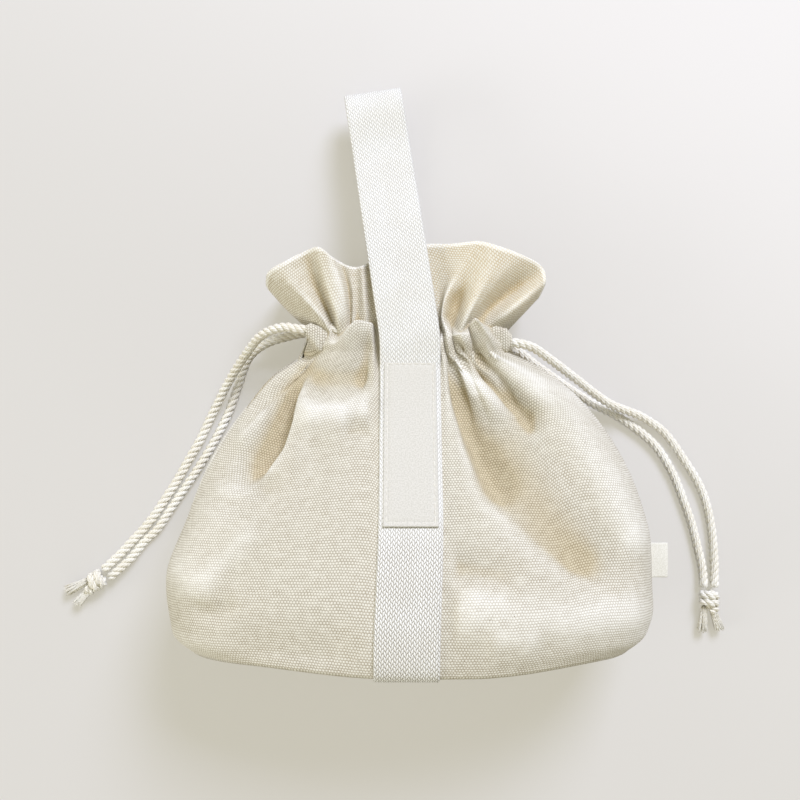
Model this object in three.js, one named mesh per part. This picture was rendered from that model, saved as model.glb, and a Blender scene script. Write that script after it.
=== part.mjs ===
// A drawcord lunch bag of canvas, lying on its back: a boxed body gathered at the neck by two cords that run
// in sewn channels, a flared frill above them, and a webbing band that runs round the body and rises into the
// handle. Millimetres. +X is the bag's right side seen from the front, +Y runs from the base to the handle,
// +Z rises out of the front panel, and z = 0 is the surface that the bag lies on.
import * as THREE from "three";

// Cloth
const CANVAS = 1.2;
const SEAM_GAP = 0.3;

// Body: the base panel's plane, the length up to the drawcord channel, and the depth of its gathers
const BASE_Y = -75;
const BODY_LENGTH = 149;
const FRONT_ROUNDNESS = 2.6;
const BACK_ROUNDNESS = 3.2;
const BODY_GATHER_DEPTH = 1.6;
const BODY_GATHER_REACH = 26;
const GATHERS = 11;

// Cross-sections from base to neck: the share of the body's length, then the half widths left and right of
// the band as shares of the body's half width, and the heights of the front, of the side seam and of the back
// before the table flattens it, as shares of the body's depth
const BODY_HALF_WIDTH = 120;
const BODY_DEPTH = 100;
const BODY_SECTIONS = [
  { share: 0, left: 0.92, right: 0.908, front: 0.94, seam: 0.46, back: 0.07 },
  { share: 0.035, left: 0.978, right: 0.963, front: 0.978, seam: 0.46, back: 0.02 },
  { share: 0.1, left: 1.004, right: 1, front: 0.995, seam: 0.46, back: -0.03 },
  { share: 0.25, left: 1.002, right: 1.004, front: 0.965, seam: 0.45, back: -0.04 },
  { share: 0.44, left: 0.923, right: 0.971, front: 0.855, seam: 0.42, back: -0.04 },
  { share: 0.65, left: 0.826, right: 0.883, front: 0.695, seam: 0.37, back: -0.03 },
  { share: 0.83, left: 0.693, right: 0.733, front: 0.56, seam: 0.33, back: 0.03 },
  { share: 0.935, left: 0.592, right: 0.596, front: 0.49, seam: 0.31, back: 0.1 },
];

// Large folds of the front below the neck: the [x, y] points that a fold runs through, how far it stands out
// (a hollow is negative) and half its width
const FRONT_FOLDS = [
  { line: [[-54, 65], [-61, 40], [-70, 14]], height: -6, half: 10 },
  { line: [[-48, 44], [-24, 44]], height: 3, half: 11 },
  { line: [[-42, 60], [-22, 61]], height: -3, half: 7 },
  { line: [[-92, -8], [-104, -30]], height: 2.5, half: 12 },
  { line: [[23, 62], [29, 37], [41, 12]], height: -6, half: 9 },
  { line: [[33, 70], [57, 44]], height: -5, half: 6 },
  { line: [[46, 70], [73, 45], [94, 8], [102, -14]], height: 4.5, half: 12 },
  { line: [[50, 30], [66, 0], [84, -20]], height: -4, half: 16 },
  { line: [[22, -26], [40, -30]], height: -3, half: 8 },
  { line: [[30, -46], [70, -50], [98, -48]], height: 3.5, half: 13 },
];

// Drawcord and the channels it runs in: one across the front of the neck, one across the back
const CORD = 5;
const CORD_PLAY = 0.6;
const LANE_GAP = 1.4;
const CHANNEL_WALL = 0.9;
const CHANNEL_LENGTH = 74;
const CHANNEL_SPREAD = 22;
const PUCKER_DEPTH = 0.5;
const PUCKERS = 11;
const NECK_HALF_WIDTH = 52;
const NECK_HEIGHT = 30;
const STUB = 28;

// Frill above the channels
const FRILL_HEIGHT = 40;
const FRILL_DROOP = 17;
const FRILL_HALF_WIDTH = 66;
const FRILL_HALF_DEPTH = 14;
const FRILL_ROUNDNESS = 2.4;
const FRILL_WAVES = 9;
const FRILL_WAVE_DEPTH = 5.5;

// Webbing band and handle
const WEBBING_WIDTH = 30;
const WEBBING = 2;
const BAND_RAMP = 4;
const FRONT_UNSEWN = 3;
const BACK_UNSEWN = 14;
const HANDLE_REACH = 141;
const HANDLE_CREST = 53;
const HANDLE_FOLD_RADIUS = 7;
const HANDLE_FOLD_HEIGHT = 17;
const HANDLE_LEAN = THREE.MathUtils.degToRad(8.5);
const HANDLE_LEAN_RUN = 12;
const LEG_LENGTH = 72;

// Label patch on the band, and the tag in the right side seam
const LABEL_WIDTH = 25.5;
const LABEL_LENGTH = 77.5;
const LABEL_BELOW_NECK = 4.5;
const LABEL = 0.8;
const TAG_WIDTH = 16.5;
const TAG_REACH = 7.5;
const TAG = 1.2;
const TAG_FROM_BASE = 45;

// Knots and frayed ends
const KNOT_LENGTH = 11;
const KNOT_RADIUS = 5.4;
const KNOT_WRAPS = 3;
const END_START_RADIUS = 2.3;
const END_RADIUS = 3.4;

// Where the cords lie: from the channel, straight out of its end, down to the table and along it to the knot
const LEFT_FRONT_ROUTE = [
  [-9, 85.2, 41], [-24, 85.2, 41], [-38, 85.2, 41], [-54, 85.4, 41], [-64, 86.6, 38.5], [-75.4, 83.2, 31.5],
  [-86, 73, 20], [-97.1, 58, 9], [-102.2, 49, 5], [-107.1, 39.9, 2.8], [-112.5, 28.4, 2.65],
  [-118.3, 18.5, 2.6], [-124.2, 7.9, 2.6], [-131, -2.7, 2.6], [-137.3, -12.2, 2.6], [-142.3, -18.5, 2.6],
  [-149.3, -26.1, 2.8], [-155.9, -33.4, 3.8], [-164.2, -41.2, 5.2],
];
const LEFT_BACK_ROUTE = [
  [-9, 85.2, 19], [-24, 85.2, 19], [-38, 85.2, 19], [-54, 85, 18.8], [-65, 83, 17], [-76, 79.6, 13.6],
  [-85.4, 72.7, 8], [-91.2, 59.7, 3.6], [-96.1, 45.7, 2.7], [-103.5, 30.1, 2.6], [-113.4, 13.5, 2.6],
  [-124.6, -3.1, 2.6], [-129.8, -10.9, 2.6], [-135.5, -19.5, 2.6], [-142.1, -25.8, 2.6],
  [-149, -34.4, 3.4], [-153.6, -38.9, 4.2], [-161.1, -45.7, 5.2],
];
const RIGHT_FRONT_ROUTE = [
  [9, 78.8, 41], [24, 78.8, 41], [38, 78.8, 41], [53, 78.6, 41], [61.5, 76.6, 38.5], [72, 70.4, 32],
  [85.6, 61.4, 23], [106.1, 48, 11.5], [124.5, 41, 4.6], [137, 32.6, 2.6], [147.3, 18.5, 2.6],
  [157, 2, 2.6], [161.8, -14.6, 2.6], [163.8, -34, 3.2], [163.35, -50.6, 5.2],
];
const RIGHT_BACK_ROUTE = [
  [9, 78.8, 19], [24, 78.8, 19], [38, 78.8, 19], [53, 77.6, 18.8], [66.8, 68, 16], [79.5, 59.6, 11.5],
  [96.5, 49, 6], [113, 40.5, 3], [131, 26.8, 2.6], [141, 11.8, 2.6], [148.4, -6.5, 2.6],
  [152, -17, 2.6], [154.8, -28, 2.6], [157.3, -40, 3.4], [157.85, -50.6, 5.2],
];
const LEFT_KNOT = { centre: [-168, -47, KNOT_RADIUS], heading: [-0.85, -0.527, 0] };
const RIGHT_KNOT = { centre: [160.6, -57, KNOT_RADIUS], heading: [0, -1, 0] };
const LEFT_FRONT_END = [[-174.6, -48, 4.8], [-184.5, -53, 3.6]];
const LEFT_BACK_END = [[-172.2, -52.9, 4.8], [-178.9, -59.9, 3.6]];
const RIGHT_FRONT_END = [[163.4, -63.8, 4.8], [167.2, -73.7, 3.6]];
const RIGHT_BACK_END = [[158, -63.2, 4.8], [157.5, -74.7, 3.6]];

// Sizes that follow from the ones above
const NECK_Y = BASE_Y + BODY_LENGTH;
const FRONT_SEWN_TO = NECK_Y - FRONT_UNSEWN;
const BACK_SEWN_TO = NECK_Y - BACK_UNSEWN;
const LABEL_TO = NECK_Y - LABEL_BELOW_NECK;
const TAG_Y = BASE_Y + TAG_FROM_BASE;
const CHANNEL_BORE_Y = 2 * CORD + LANE_GAP + 2 * CORD_PLAY;
const CHANNEL_BORE_Z = CORD + 2 * CORD_PLAY;
const CHANNEL_Y = NECK_Y + SEAM_GAP + PUCKER_DEPTH + CHANNEL_WALL + CHANNEL_BORE_Y / 2;
const CHANNEL_HALF_Y = CHANNEL_BORE_Y / 2 + CHANNEL_WALL + PUCKER_DEPTH;
const CHANNEL_HALF_Z = CHANNEL_BORE_Z / 2 + CHANNEL_WALL;
const LANE = (CORD + LANE_GAP) / 2;
const NECK_HALF_DEPTH = CHANNEL_SPREAD / 2 + CHANNEL_HALF_Z;
const FRILL_Y = CHANNEL_Y + CHANNEL_HALF_Y + SEAM_GAP;
const BAND_HALF = WEBBING_WIDTH / 2 + SEAM_GAP;
const BASE_FACE_Y = BASE_Y - SEAM_GAP - CANVAS;

const canvas = new THREE.MeshStandardMaterial({ color: 0xece4d2, roughness: 0.95, metalness: 0 });
const webbing = new THREE.MeshStandardMaterial({ color: 0xf2f0ea, roughness: 0.9, metalness: 0 });
const cotton = new THREE.MeshStandardMaterial({ color: 0xf0eadd, roughness: 0.95, metalness: 0 });
const tape = new THREE.MeshStandardMaterial({ color: 0xf6f3ec, roughness: 0.9, metalness: 0 });

const bag = new THREE.Group();

function add(name, geometry, material) {
  const mesh = new THREE.Mesh(geometry, material.clone());
  mesh.name = name;
  bag.add(mesh);
}

// A closed surface from triangles, turned so that its faces point out.
function closedSolid(points, triangles) {
  let volume = 0;
  const cross = new THREE.Vector3();
  for (const [a, b, c] of triangles) {
    volume += points[a].dot(cross.crossVectors(points[b], points[c]));
  }
  const faces = volume < 0 ? triangles.map(([a, b, c]) => [a, c, b]) : triangles;
  const geometry = new THREE.BufferGeometry().setFromPoints(points);
  geometry.setIndex(faces.flat());
  return geometry;
}

// A sheet with thickness: an outer and an inner grid of points, joined round the border.
function sheetSolid(outer, inner) {
  const rows = outer.length;
  const columns = outer[0].length;
  const count = rows * columns;
  const points = [...outer.flat(), ...inner.flat()];
  const triangles = [];
  const quad = (a, b, c, d) => triangles.push([a, b, c], [a, c, d]);
  for (let i = 0; i + 1 < rows; i++) {
    for (let j = 0; j + 1 < columns; j++) {
      const k = i * columns + j;
      quad(k, k + 1, k + columns + 1, k + columns);
      quad(count + k, count + k + columns, count + k + columns + 1, count + k + 1);
    }
  }
  const border = [];
  for (let j = 0; j < columns - 1; j++) border.push(j);
  for (let i = 0; i < rows - 1; i++) border.push(i * columns + columns - 1);
  for (let j = columns - 1; j > 0; j--) border.push((rows - 1) * columns + j);
  for (let i = rows - 1; i > 0; i--) border.push(i * columns);
  border.forEach((a, n) => {
    const b = border[(n + 1) % border.length];
    quad(b, a, count + a, count + b);
  });
  return closedSolid(points, triangles);
}

// Smooth sizes between the body's cross-sections, with the neck's own as the last one.
const sections = [
  ...BODY_SECTIONS.map(({ share, left, right, front, seam, back }) => ({
    share,
    left: left * BODY_HALF_WIDTH,
    right: right * BODY_HALF_WIDTH,
    front: front * BODY_DEPTH,
    seam: seam * BODY_DEPTH,
    back: back * BODY_DEPTH,
  })),
  {
    share: 1,
    left: NECK_HALF_WIDTH,
    right: NECK_HALF_WIDTH,
    front: NECK_HEIGHT + NECK_HALF_DEPTH,
    seam: NECK_HEIGHT,
    back: NECK_HEIGHT - NECK_HALF_DEPTH,
  },
];
const SECTION_SIZES = ["left", "right", "front", "seam", "back"];
const smoothSections = new THREE.CubicInterpolant(
  sections.map((s) => s.share),
  sections.flatMap((s) => SECTION_SIZES.map((size) => s[size])),
  SECTION_SIZES.length,
);

function sectionAt(y) {
  const values = smoothSections.evaluate((y - BASE_Y) / BODY_LENGTH);
  return Object.fromEntries(SECTION_SIZES.map((size, i) => [size, values[i]]));
}

// Gathers are deepest away from the band, which holds the cloth flat.
const gatherShare = (x) => 1 - Math.exp(-((x / BAND_HALF) ** 4) / 4);

// Columns of the body from left to right: closer together towards the side seams, with the band's edges
// exact.
const SIDE_COLUMNS = 14;
const bodyColumns = [{ x: -BAND_HALF }, { x: BAND_HALF }];
for (let i = 0; i <= SIDE_COLUMNS; i++) {
  const out = Math.sin((i / SIDE_COLUMNS) * (Math.PI / 2));
  bodyColumns.unshift({ side: -1, out });
  bodyColumns.push({ side: 1, out });
}

// Rows of the body from base to neck: closer together at both ends.
const BODY_ROWS = 18;
const bodyRows = [];
for (let i = 0; i < BODY_ROWS; i++) {
  const share = i / (BODY_ROWS - 1);
  const eased = (1 - Math.cos(Math.PI * share)) / 2;
  bodyRows.push(BASE_Y + BODY_LENGTH * ((share + eased) / 2));
}

// How far the large folds lift the front at a place. The band holds the cloth flat.
function foldLift(x, y) {
  const place = new THREE.Vector3(x, y, 0);
  const nearest = new THREE.Vector3();
  const lift = FRONT_FOLDS.map(({ line, height, half }) => {
    const points = line.map((p) => new THREE.Vector3(...p, 0));
    const gaps = points.slice(1).map((end, i) =>
      new THREE.Line3(points[i], end).closestPointToPoint(place, true, nearest).distanceTo(place));
    return height * Math.exp(-((Math.min(...gaps) / half) ** 2));
  });
  const free = THREE.MathUtils.smoothstep(Math.abs(x), BAND_HALF, BAND_HALF + BAND_RAMP);
  return free * lift.reduce((sum, value) => sum + value, 0);
}

// A point of the front (side 1) or of the back (side -1), inset from the outer face.
function bodyPoint(y, column, side, inset) {
  const at = sectionAt(y);
  const start = BAND_HALF + BAND_RAMP;
  const wide = ((column.side ?? column.x) < 0 ? at.left : at.right) - inset;
  const x = column.x ?? column.side * (start + (wide - start) * column.out);
  const round = side > 0 ? FRONT_ROUNDNESS : BACK_ROUNDNESS;
  const reach = (side > 0 ? at.front - at.seam : at.seam - at.back) - inset;
  const rise = (1 - Math.min(1, Math.abs(x) / wide) ** round) ** (1 / round);
  const gather = BODY_GATHER_DEPTH * Math.exp((y - NECK_Y) / BODY_GATHER_REACH) * gatherShare(x);
  const turn = Math.acos(THREE.MathUtils.clamp(x / wide, -1, 1));
  const fold = gather * Math.cos(GATHERS * turn);
  let z = at.seam + side * Math.max(SEAM_GAP / 2, reach * rise + fold * Math.sin(turn));
  if (side > 0) z += foldLift(x, y) * rise;
  if (side < 0) {
    const overBand = THREE.MathUtils.clamp((start - Math.abs(x)) / BAND_RAMP, 0, 1);
    z = Math.max(z, inset) + overBand * (WEBBING + SEAM_GAP);
  }
  return new THREE.Vector3(x + fold * Math.cos(turn), y, z);
}

function bodyPanel(side) {
  const row = (y, inset) => bodyColumns.map((column) => bodyPoint(y, column, side, inset));
  const grid = (inset) => bodyRows.map((y) => row(y, inset));
  return sheetSolid(grid(0), grid(CANVAS));
}

// The base closes the body's lower end: the outline of the panels' edges, one cloth thick.
function basePanel() {
  const front = bodyColumns.map((column) => bodyPoint(BASE_Y, column, 1, 0));
  const back = bodyColumns.map((column) => bodyPoint(BASE_Y, column, -1, 0));
  const outline = new THREE.Shape([...front, ...back.reverse()].map((p) => new THREE.Vector2(p.x, p.z)));
  const plate = new THREE.ExtrudeGeometry(outline, { depth: CANVAS, bevelEnabled: false });
  plate.rotateX(Math.PI / 2);
  return plate.translate(0, BASE_Y - SEAM_GAP, 0);
}

add("front_panel", bodyPanel(1), canvas);
add("back_panel", bodyPanel(-1), canvas);
add("base_panel", basePanel(), canvas);

// A channel: a flattened sleeve along X, puckered outside where the cloth is gathered, with a smooth bore.
function channel() {
  const SIDES = 12;
  const boxed = (value) => Math.sign(value) * Math.sqrt(Math.abs(value));
  const ring = (x, halfY, halfZ) => Array.from({ length: SIDES }, (_, i) => {
    const turn = (i / SIDES) * 2 * Math.PI;
    return new THREE.Vector3(x, halfY * boxed(Math.cos(turn)), halfZ * boxed(Math.sin(turn)));
  });
  const last = 2 * PUCKERS;
  const rings = [];
  for (let i = 0; i <= last; i++) {
    const x = CHANNEL_LENGTH * (i / last - 0.5);
    const pucker = i % 2 ? PUCKER_DEPTH : 0;
    rings.push(ring(x, CHANNEL_BORE_Y / 2 + CHANNEL_WALL + pucker, CHANNEL_HALF_Z + pucker));
  }
  for (const x of [CHANNEL_LENGTH / 2, -CHANNEL_LENGTH / 2]) {
    rings.push(ring(x, CHANNEL_BORE_Y / 2, CHANNEL_BORE_Z / 2));
  }
  const triangles = [];
  rings.forEach((_, r) => {
    const next = ((r + 1) % rings.length) * SIDES;
    for (let i = 0; i < SIDES; i++) {
      const j = (i + 1) % SIDES;
      triangles.push([r * SIDES + i, r * SIDES + j, next + j], [r * SIDES + i, next + j, next + i]);
    }
  });
  return closedSolid(rings.flat(), triangles);
}

const frontChannelZ = NECK_HEIGHT + CHANNEL_SPREAD / 2;
const backChannelZ = NECK_HEIGHT - CHANNEL_SPREAD / 2;
add("front_channel", channel().translate(0, CHANNEL_Y, frontChannelZ), canvas);
add("back_channel", channel().translate(0, CHANNEL_Y, backChannelZ), canvas);

// Half of the frill: it rises from the channel, flares and ripples, and droops towards its sides.
function frill(side) {
  const COLUMNS = 40;
  const ROWS = 6;
  const point = (row, column, inset) => {
    const up = row / ROWS;
    const turn = (column / COLUMNS) * Math.PI;
    const c = Math.cos(turn);
    const s = Math.sin(turn);
    const wide = THREE.MathUtils.lerp(NECK_HALF_WIDTH, FRILL_HALF_WIDTH, Math.sqrt(up)) - inset;
    const deep = THREE.MathUtils.lerp(NECK_HALF_DEPTH, FRILL_HALF_DEPTH, up) - inset;
    const x = wide * Math.sign(c) * Math.abs(c) ** (2 / FRILL_ROUNDNESS);
    const z = deep * s ** (2 / FRILL_ROUNDNESS);
    const wave = FRILL_WAVE_DEPTH * up * gatherShare(x) * Math.cos(FRILL_WAVES * turn);
    const y = FRILL_Y + up * (FRILL_HEIGHT - FRILL_DROOP * c * c);
    return new THREE.Vector3(x + wave * c, y, NECK_HEIGHT + side * Math.max(SEAM_GAP / 2, z + wave * s));
  };
  const grid = (inset) => Array.from({ length: ROWS + 1 }, (_, row) =>
    Array.from({ length: COLUMNS + 1 }, (_, column) => point(row, column, inset)));
  return sheetSolid(grid(0), grid(CANVAS));
}

add("front_frill", frill(1), canvas);
add("back_frill", frill(-1), canvas);

// A path of [y, z] points moved sideways by a distance, with mitred corners.
function offsetPath(path, distance) {
  return path.map((p, i) => {
    const before = p.clone().sub(path[Math.max(0, i - 1)]);
    const after = path[Math.min(path.length - 1, i + 1)].clone().sub(p);
    if (before.lengthSq() === 0) before.copy(after);
    if (after.lengthSq() === 0) after.copy(before);
    before.normalize();
    after.normalize();
    const across = before.clone().add(after).normalize();
    const mitre = distance / across.dot(after);
    return new THREE.Vector2(p.x - across.y * mitre, p.y + across.x * mitre);
  });
}

// A strip of a given width along X whose side view follows the path, from one offset of it to another.
function strip(path, from, to, width) {
  const side = new THREE.Shape([...offsetPath(path, from), ...offsetPath(path, to).reverse()]);
  const solid = new THREE.ExtrudeGeometry(side, { depth: width, bevelEnabled: false });
  solid.translate(0, 0, -width / 2);
  const alongX = new THREE.Matrix4().makeBasis(
    new THREE.Vector3(0, 1, 0), new THREE.Vector3(0, 0, 1), new THREE.Vector3(1, 0, 0),
  );
  return solid.applyMatrix4(alongX);
}

// The part of a path between two y values, with a point on each.
function pathBetween(path, from, to) {
  const at = (y) => {
    const i = path.findIndex((p, k) => k > 0 && p.x >= y);
    const a = path[i - 1];
    const b = path[i];
    return a.clone().lerp(b, (y - a.x) / (b.x - a.x));
  };
  return [at(from), ...path.filter((p) => p.x > from && p.x < to), at(to)];
}

// The band is sewn down the front, under the base and up the back, flat on the cloth.
const bandColumn = { x: BAND_HALF };
function sewnPath(side) {
  const path = bodyRows.map((y) => new THREE.Vector2(y, bodyPoint(y, bandColumn, side, 0).z));
  return [new THREE.Vector2(BASE_FACE_Y, path[0].y), ...path];
}

const frontPath = sewnPath(1);
const backPath = sewnPath(-1);
const frontSewn = pathBetween(frontPath, BASE_FACE_Y, FRONT_SEWN_TO);
const backSewn = pathBetween(backPath, BASE_FACE_Y, BACK_SEWN_TO);
add("front_webbing", strip(frontSewn, SEAM_GAP, SEAM_GAP + WEBBING, WEBBING_WIDTH), webbing);
add("back_webbing", strip(backSewn, -SEAM_GAP, -SEAM_GAP - WEBBING, WEBBING_WIDTH), webbing);

function baseWebbing() {
  const low = backPath[0].y - SEAM_GAP - WEBBING;
  const high = frontPath[0].y + SEAM_GAP + WEBBING;
  const box = new THREE.BoxGeometry(WEBBING_WIDTH, WEBBING, high - low);
  return box.translate(0, BASE_FACE_Y - SEAM_GAP - WEBBING / 2, (low + high) / 2);
}

add("base_webbing", baseWebbing(), webbing);

const labelPath = pathBetween(frontPath, LABEL_TO - LABEL_LENGTH, LABEL_TO);
const labelLift = 2 * SEAM_GAP + WEBBING;
add("label_patch", strip(labelPath, labelLift, labelLift + LABEL, LABEL_WIDTH), tape);

// The handle is the free length of the band: up over the frill, back in a fold, and under the frill again.
function handleLine() {
  const leaving = (path, offset) => {
    const [before, last] = offsetPath(path, offset).slice(-2);
    const heading = last.clone().sub(before).normalize();
    return [SEAM_GAP, WEBBING].map((distance) => last.clone().addScaledVector(heading, distance));
  };
  const [start, startOn] = leaving(frontSewn, SEAM_GAP + WEBBING / 2);
  const [end, endOn] = leaving(backSewn, -SEAM_GAP - WEBBING / 2);
  const tip = FRONT_SEWN_TO + HANDLE_REACH;
  const foldIn = tip - HANDLE_FOLD_RADIUS;
  const onTable = WEBBING / 2 + SEAM_GAP;
  const underChannel = backChannelZ - CHANNEL_HALF_Z - PUCKER_DEPTH - 2 * SEAM_GAP - WEBBING / 2;
  const along = (share, z) => new THREE.Vector2(FRONT_SEWN_TO + share * HANDLE_REACH, z);
  const curve = new THREE.SplineCurve([
    startOn,
    along(0.1, THREE.MathUtils.lerp(start.y, HANDLE_CREST, 0.4)),
    along(0.3, HANDLE_CREST),
    along(0.5, THREE.MathUtils.lerp(HANDLE_FOLD_HEIGHT, HANDLE_CREST, 0.82)),
    along(0.75, THREE.MathUtils.lerp(HANDLE_FOLD_HEIGHT, HANDLE_CREST, 0.42)),
    new THREE.Vector2(foldIn, HANDLE_FOLD_HEIGHT + HANDLE_FOLD_RADIUS),
    new THREE.Vector2(tip, HANDLE_FOLD_HEIGHT),
    new THREE.Vector2(foldIn, HANDLE_FOLD_HEIGHT - HANDLE_FOLD_RADIUS),
    along(0.78, onTable + HANDLE_FOLD_RADIUS / 2),
    along(0.5, onTable + 1),
    along(0.3, THREE.MathUtils.lerp(onTable, end.y, 0.3)),
    new THREE.Vector2(CHANNEL_Y + CHANNEL_HALF_Y, THREE.MathUtils.lerp(onTable, underChannel, 0.75)),
    new THREE.Vector2(CHANNEL_Y - CHANNEL_HALF_Y, underChannel),
    endOn,
  ]);
  return [start, ...curve.getSpacedPoints(72), end];
}

// The handle leans to the left: past the neck its plan bends along an arc and then runs straight.
function leaned(geometry) {
  const from = FRONT_SEWN_TO + 2 * WEBBING;
  const radius = HANDLE_LEAN_RUN / HANDLE_LEAN;
  const p = geometry.attributes.position;
  for (let i = 0; i < p.count; i++) {
    const along = p.getY(i) - from;
    if (along <= 0) continue;
    const turn = HANDLE_LEAN * Math.min(1, along / HANDLE_LEAN_RUN);
    const past = Math.max(0, along - HANDLE_LEAN_RUN);
    const x = -radius * (1 - Math.cos(turn)) - past * Math.sin(turn);
    const y = from + radius * Math.sin(turn) + past * Math.cos(turn);
    p.setXY(i, x + p.getX(i) * Math.cos(turn), y + p.getX(i) * Math.sin(turn));
  }
  return geometry;
}

// Split the line where the legs end, each cut half a seam gap short.
function shortened(path, atStart, atEnd) {
  const cut = path.map((p) => p.clone());
  if (atStart) cut[0].lerp(cut[1], SEAM_GAP / 2 / cut[0].distanceTo(cut[1]));
  if (atEnd) cut.at(-1).lerp(cut.at(-2), SEAM_GAP / 2 / cut.at(-1).distanceTo(cut.at(-2)));
  return cut;
}

const line = handleLine();
const legEnd = FRONT_SEWN_TO + LEG_LENGTH;
const frontSplit = line.findIndex((p) => p.x > legEnd);
const backSplit = line.length - 1 - [...line].reverse().findIndex((p) => p.x > legEnd);
const handlePiece = (path) => leaned(strip(path, -WEBBING / 2, WEBBING / 2, WEBBING_WIDTH));
const frontLeg = line.slice(0, frontSplit + 1);
const backLeg = line.slice(backSplit);
add("handle_front_leg", handlePiece(shortened(frontLeg, false, true)), webbing);
add("handle_grip", handlePiece(shortened(line.slice(frontSplit, backSplit + 1), true, true)), webbing);
add("handle_back_leg", handlePiece(shortened(backLeg, true, false)), webbing);

// The tag is a folded tape: flat where the side seam holds it, round at its fold.
function sideTag() {
  const profile = new THREE.Shape();
  profile.moveTo(0, -TAG / 2);
  profile.lineTo(TAG_REACH - TAG / 2, -TAG / 2);
  profile.absarc(TAG_REACH - TAG / 2, 0, TAG / 2, -Math.PI / 2, Math.PI / 2);
  profile.lineTo(0, TAG / 2);
  const tag = new THREE.ExtrudeGeometry(profile, { depth: TAG_WIDTH, bevelEnabled: false, curveSegments: 6 });
  tag.translate(0, 0, -TAG_WIDTH / 2);
  tag.rotateX(Math.PI / 2);
  const top = sectionAt(TAG_Y + TAG_WIDTH / 2).right;
  const bottom = sectionAt(TAG_Y - TAG_WIDTH / 2).right;
  const middle = sectionAt(TAG_Y);
  tag.rotateZ(Math.atan2(bottom - top, TAG_WIDTH));
  return tag.translate(Math.max((top + bottom) / 2, middle.right) + SEAM_GAP, TAG_Y, middle.seam);
}

add("side_tag", sideTag(), tape);

// A cord is a round tube along its route.
function tube(route, steps) {
  const SIDES = 10;
  const round = new THREE.Shape(Array.from({ length: SIDES }, (_, i) => {
    const turn = (i / SIDES) * 2 * Math.PI;
    return new THREE.Vector2((CORD / 2) * Math.cos(turn), (CORD / 2) * Math.sin(turn));
  }));
  const path = new THREE.CatmullRomCurve3(route.map((p) => new THREE.Vector3(...p)));
  return new THREE.ExtrudeGeometry(round, { steps, extrudePath: path, bevelEnabled: false });
}

// The loop of a cord inside the channels: along the front one, round the far side and back along the other.
function loopRoute(hand, laneY) {
  const start = hand * -(CHANNEL_LENGTH / 2 - STUB - SEAM_GAP);
  const turnX = hand * (CHANNEL_LENGTH / 2);
  const radius = CHANNEL_SPREAD / 2;
  const route = [[start, laneY, frontChannelZ], [(start + turnX) / 2, laneY, frontChannelZ]];
  const BENDS = 6;
  for (let i = 0; i <= BENDS; i++) {
    const turn = (i / BENDS) * Math.PI;
    route.push([turnX + hand * radius * Math.sin(turn), laneY, NECK_HEIGHT + radius * Math.cos(turn)]);
  }
  route.push([(start + turnX) / 2, laneY, backChannelZ], [start, laneY, backChannelZ]);
  return route;
}

// A stopper knot, built round the cord's heading: the doubled cord wraps it a few times.
function knot({ centre, heading }) {
  const STEPS = 12;
  const half = KNOT_LENGTH / 2;
  const profile = [new THREE.Vector2(0, -half)];
  for (let i = 0; i <= STEPS; i++) {
    const along = i / STEPS;
    const wrap = Math.abs(Math.sin(along * KNOT_WRAPS * Math.PI));
    profile.push(new THREE.Vector2(KNOT_RADIUS * (0.86 + 0.14 * wrap), (along - 0.5) * KNOT_LENGTH));
  }
  profile.push(new THREE.Vector2(0, half));
  return along(new THREE.LatheGeometry(profile, 12), heading).translate(...centre);
}

// Turns a solid made round Y so that it points along a heading.
function along(geometry, heading) {
  const to = new THREE.Vector3(...heading).normalize();
  return geometry.applyQuaternion(new THREE.Quaternion().setFromUnitVectors(new THREE.Vector3(0, 1, 0), to));
}

// A frayed end spreads out from the knot.
function frayedEnd([from, to]) {
  const start = new THREE.Vector3(...from);
  const heading = new THREE.Vector3(...to).sub(start);
  const reach = heading.length();
  const profile = [
    new THREE.Vector2(0, 0),
    new THREE.Vector2(END_START_RADIUS, 0),
    new THREE.Vector2(END_RADIUS, reach),
    new THREE.Vector2(0, reach),
  ];
  return along(new THREE.LatheGeometry(profile, 10), heading.toArray()).translate(...from);
}

const TAIL_STEPS = 20;
const LOOP_STEPS = 18;
add("left_front_tail", tube(LEFT_FRONT_ROUTE, TAIL_STEPS), cotton);
add("left_back_tail", tube(LEFT_BACK_ROUTE, TAIL_STEPS), cotton);
add("left_loop", tube(loopRoute(1, CHANNEL_Y + LANE), LOOP_STEPS), cotton);
add("left_knot", knot(LEFT_KNOT), cotton);
add("left_front_end", frayedEnd(LEFT_FRONT_END), cotton);
add("left_back_end", frayedEnd(LEFT_BACK_END), cotton);
add("right_front_tail", tube(RIGHT_FRONT_ROUTE, TAIL_STEPS), cotton);
add("right_back_tail", tube(RIGHT_BACK_ROUTE, TAIL_STEPS), cotton);
add("right_loop", tube(loopRoute(-1, CHANNEL_Y - LANE), LOOP_STEPS), cotton);
add("right_knot", knot(RIGHT_KNOT), cotton);
add("right_front_end", frayedEnd(RIGHT_FRONT_END), cotton);
add("right_back_end", frayedEnd(RIGHT_BACK_END), cotton);

export default bag;
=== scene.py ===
import math

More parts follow.
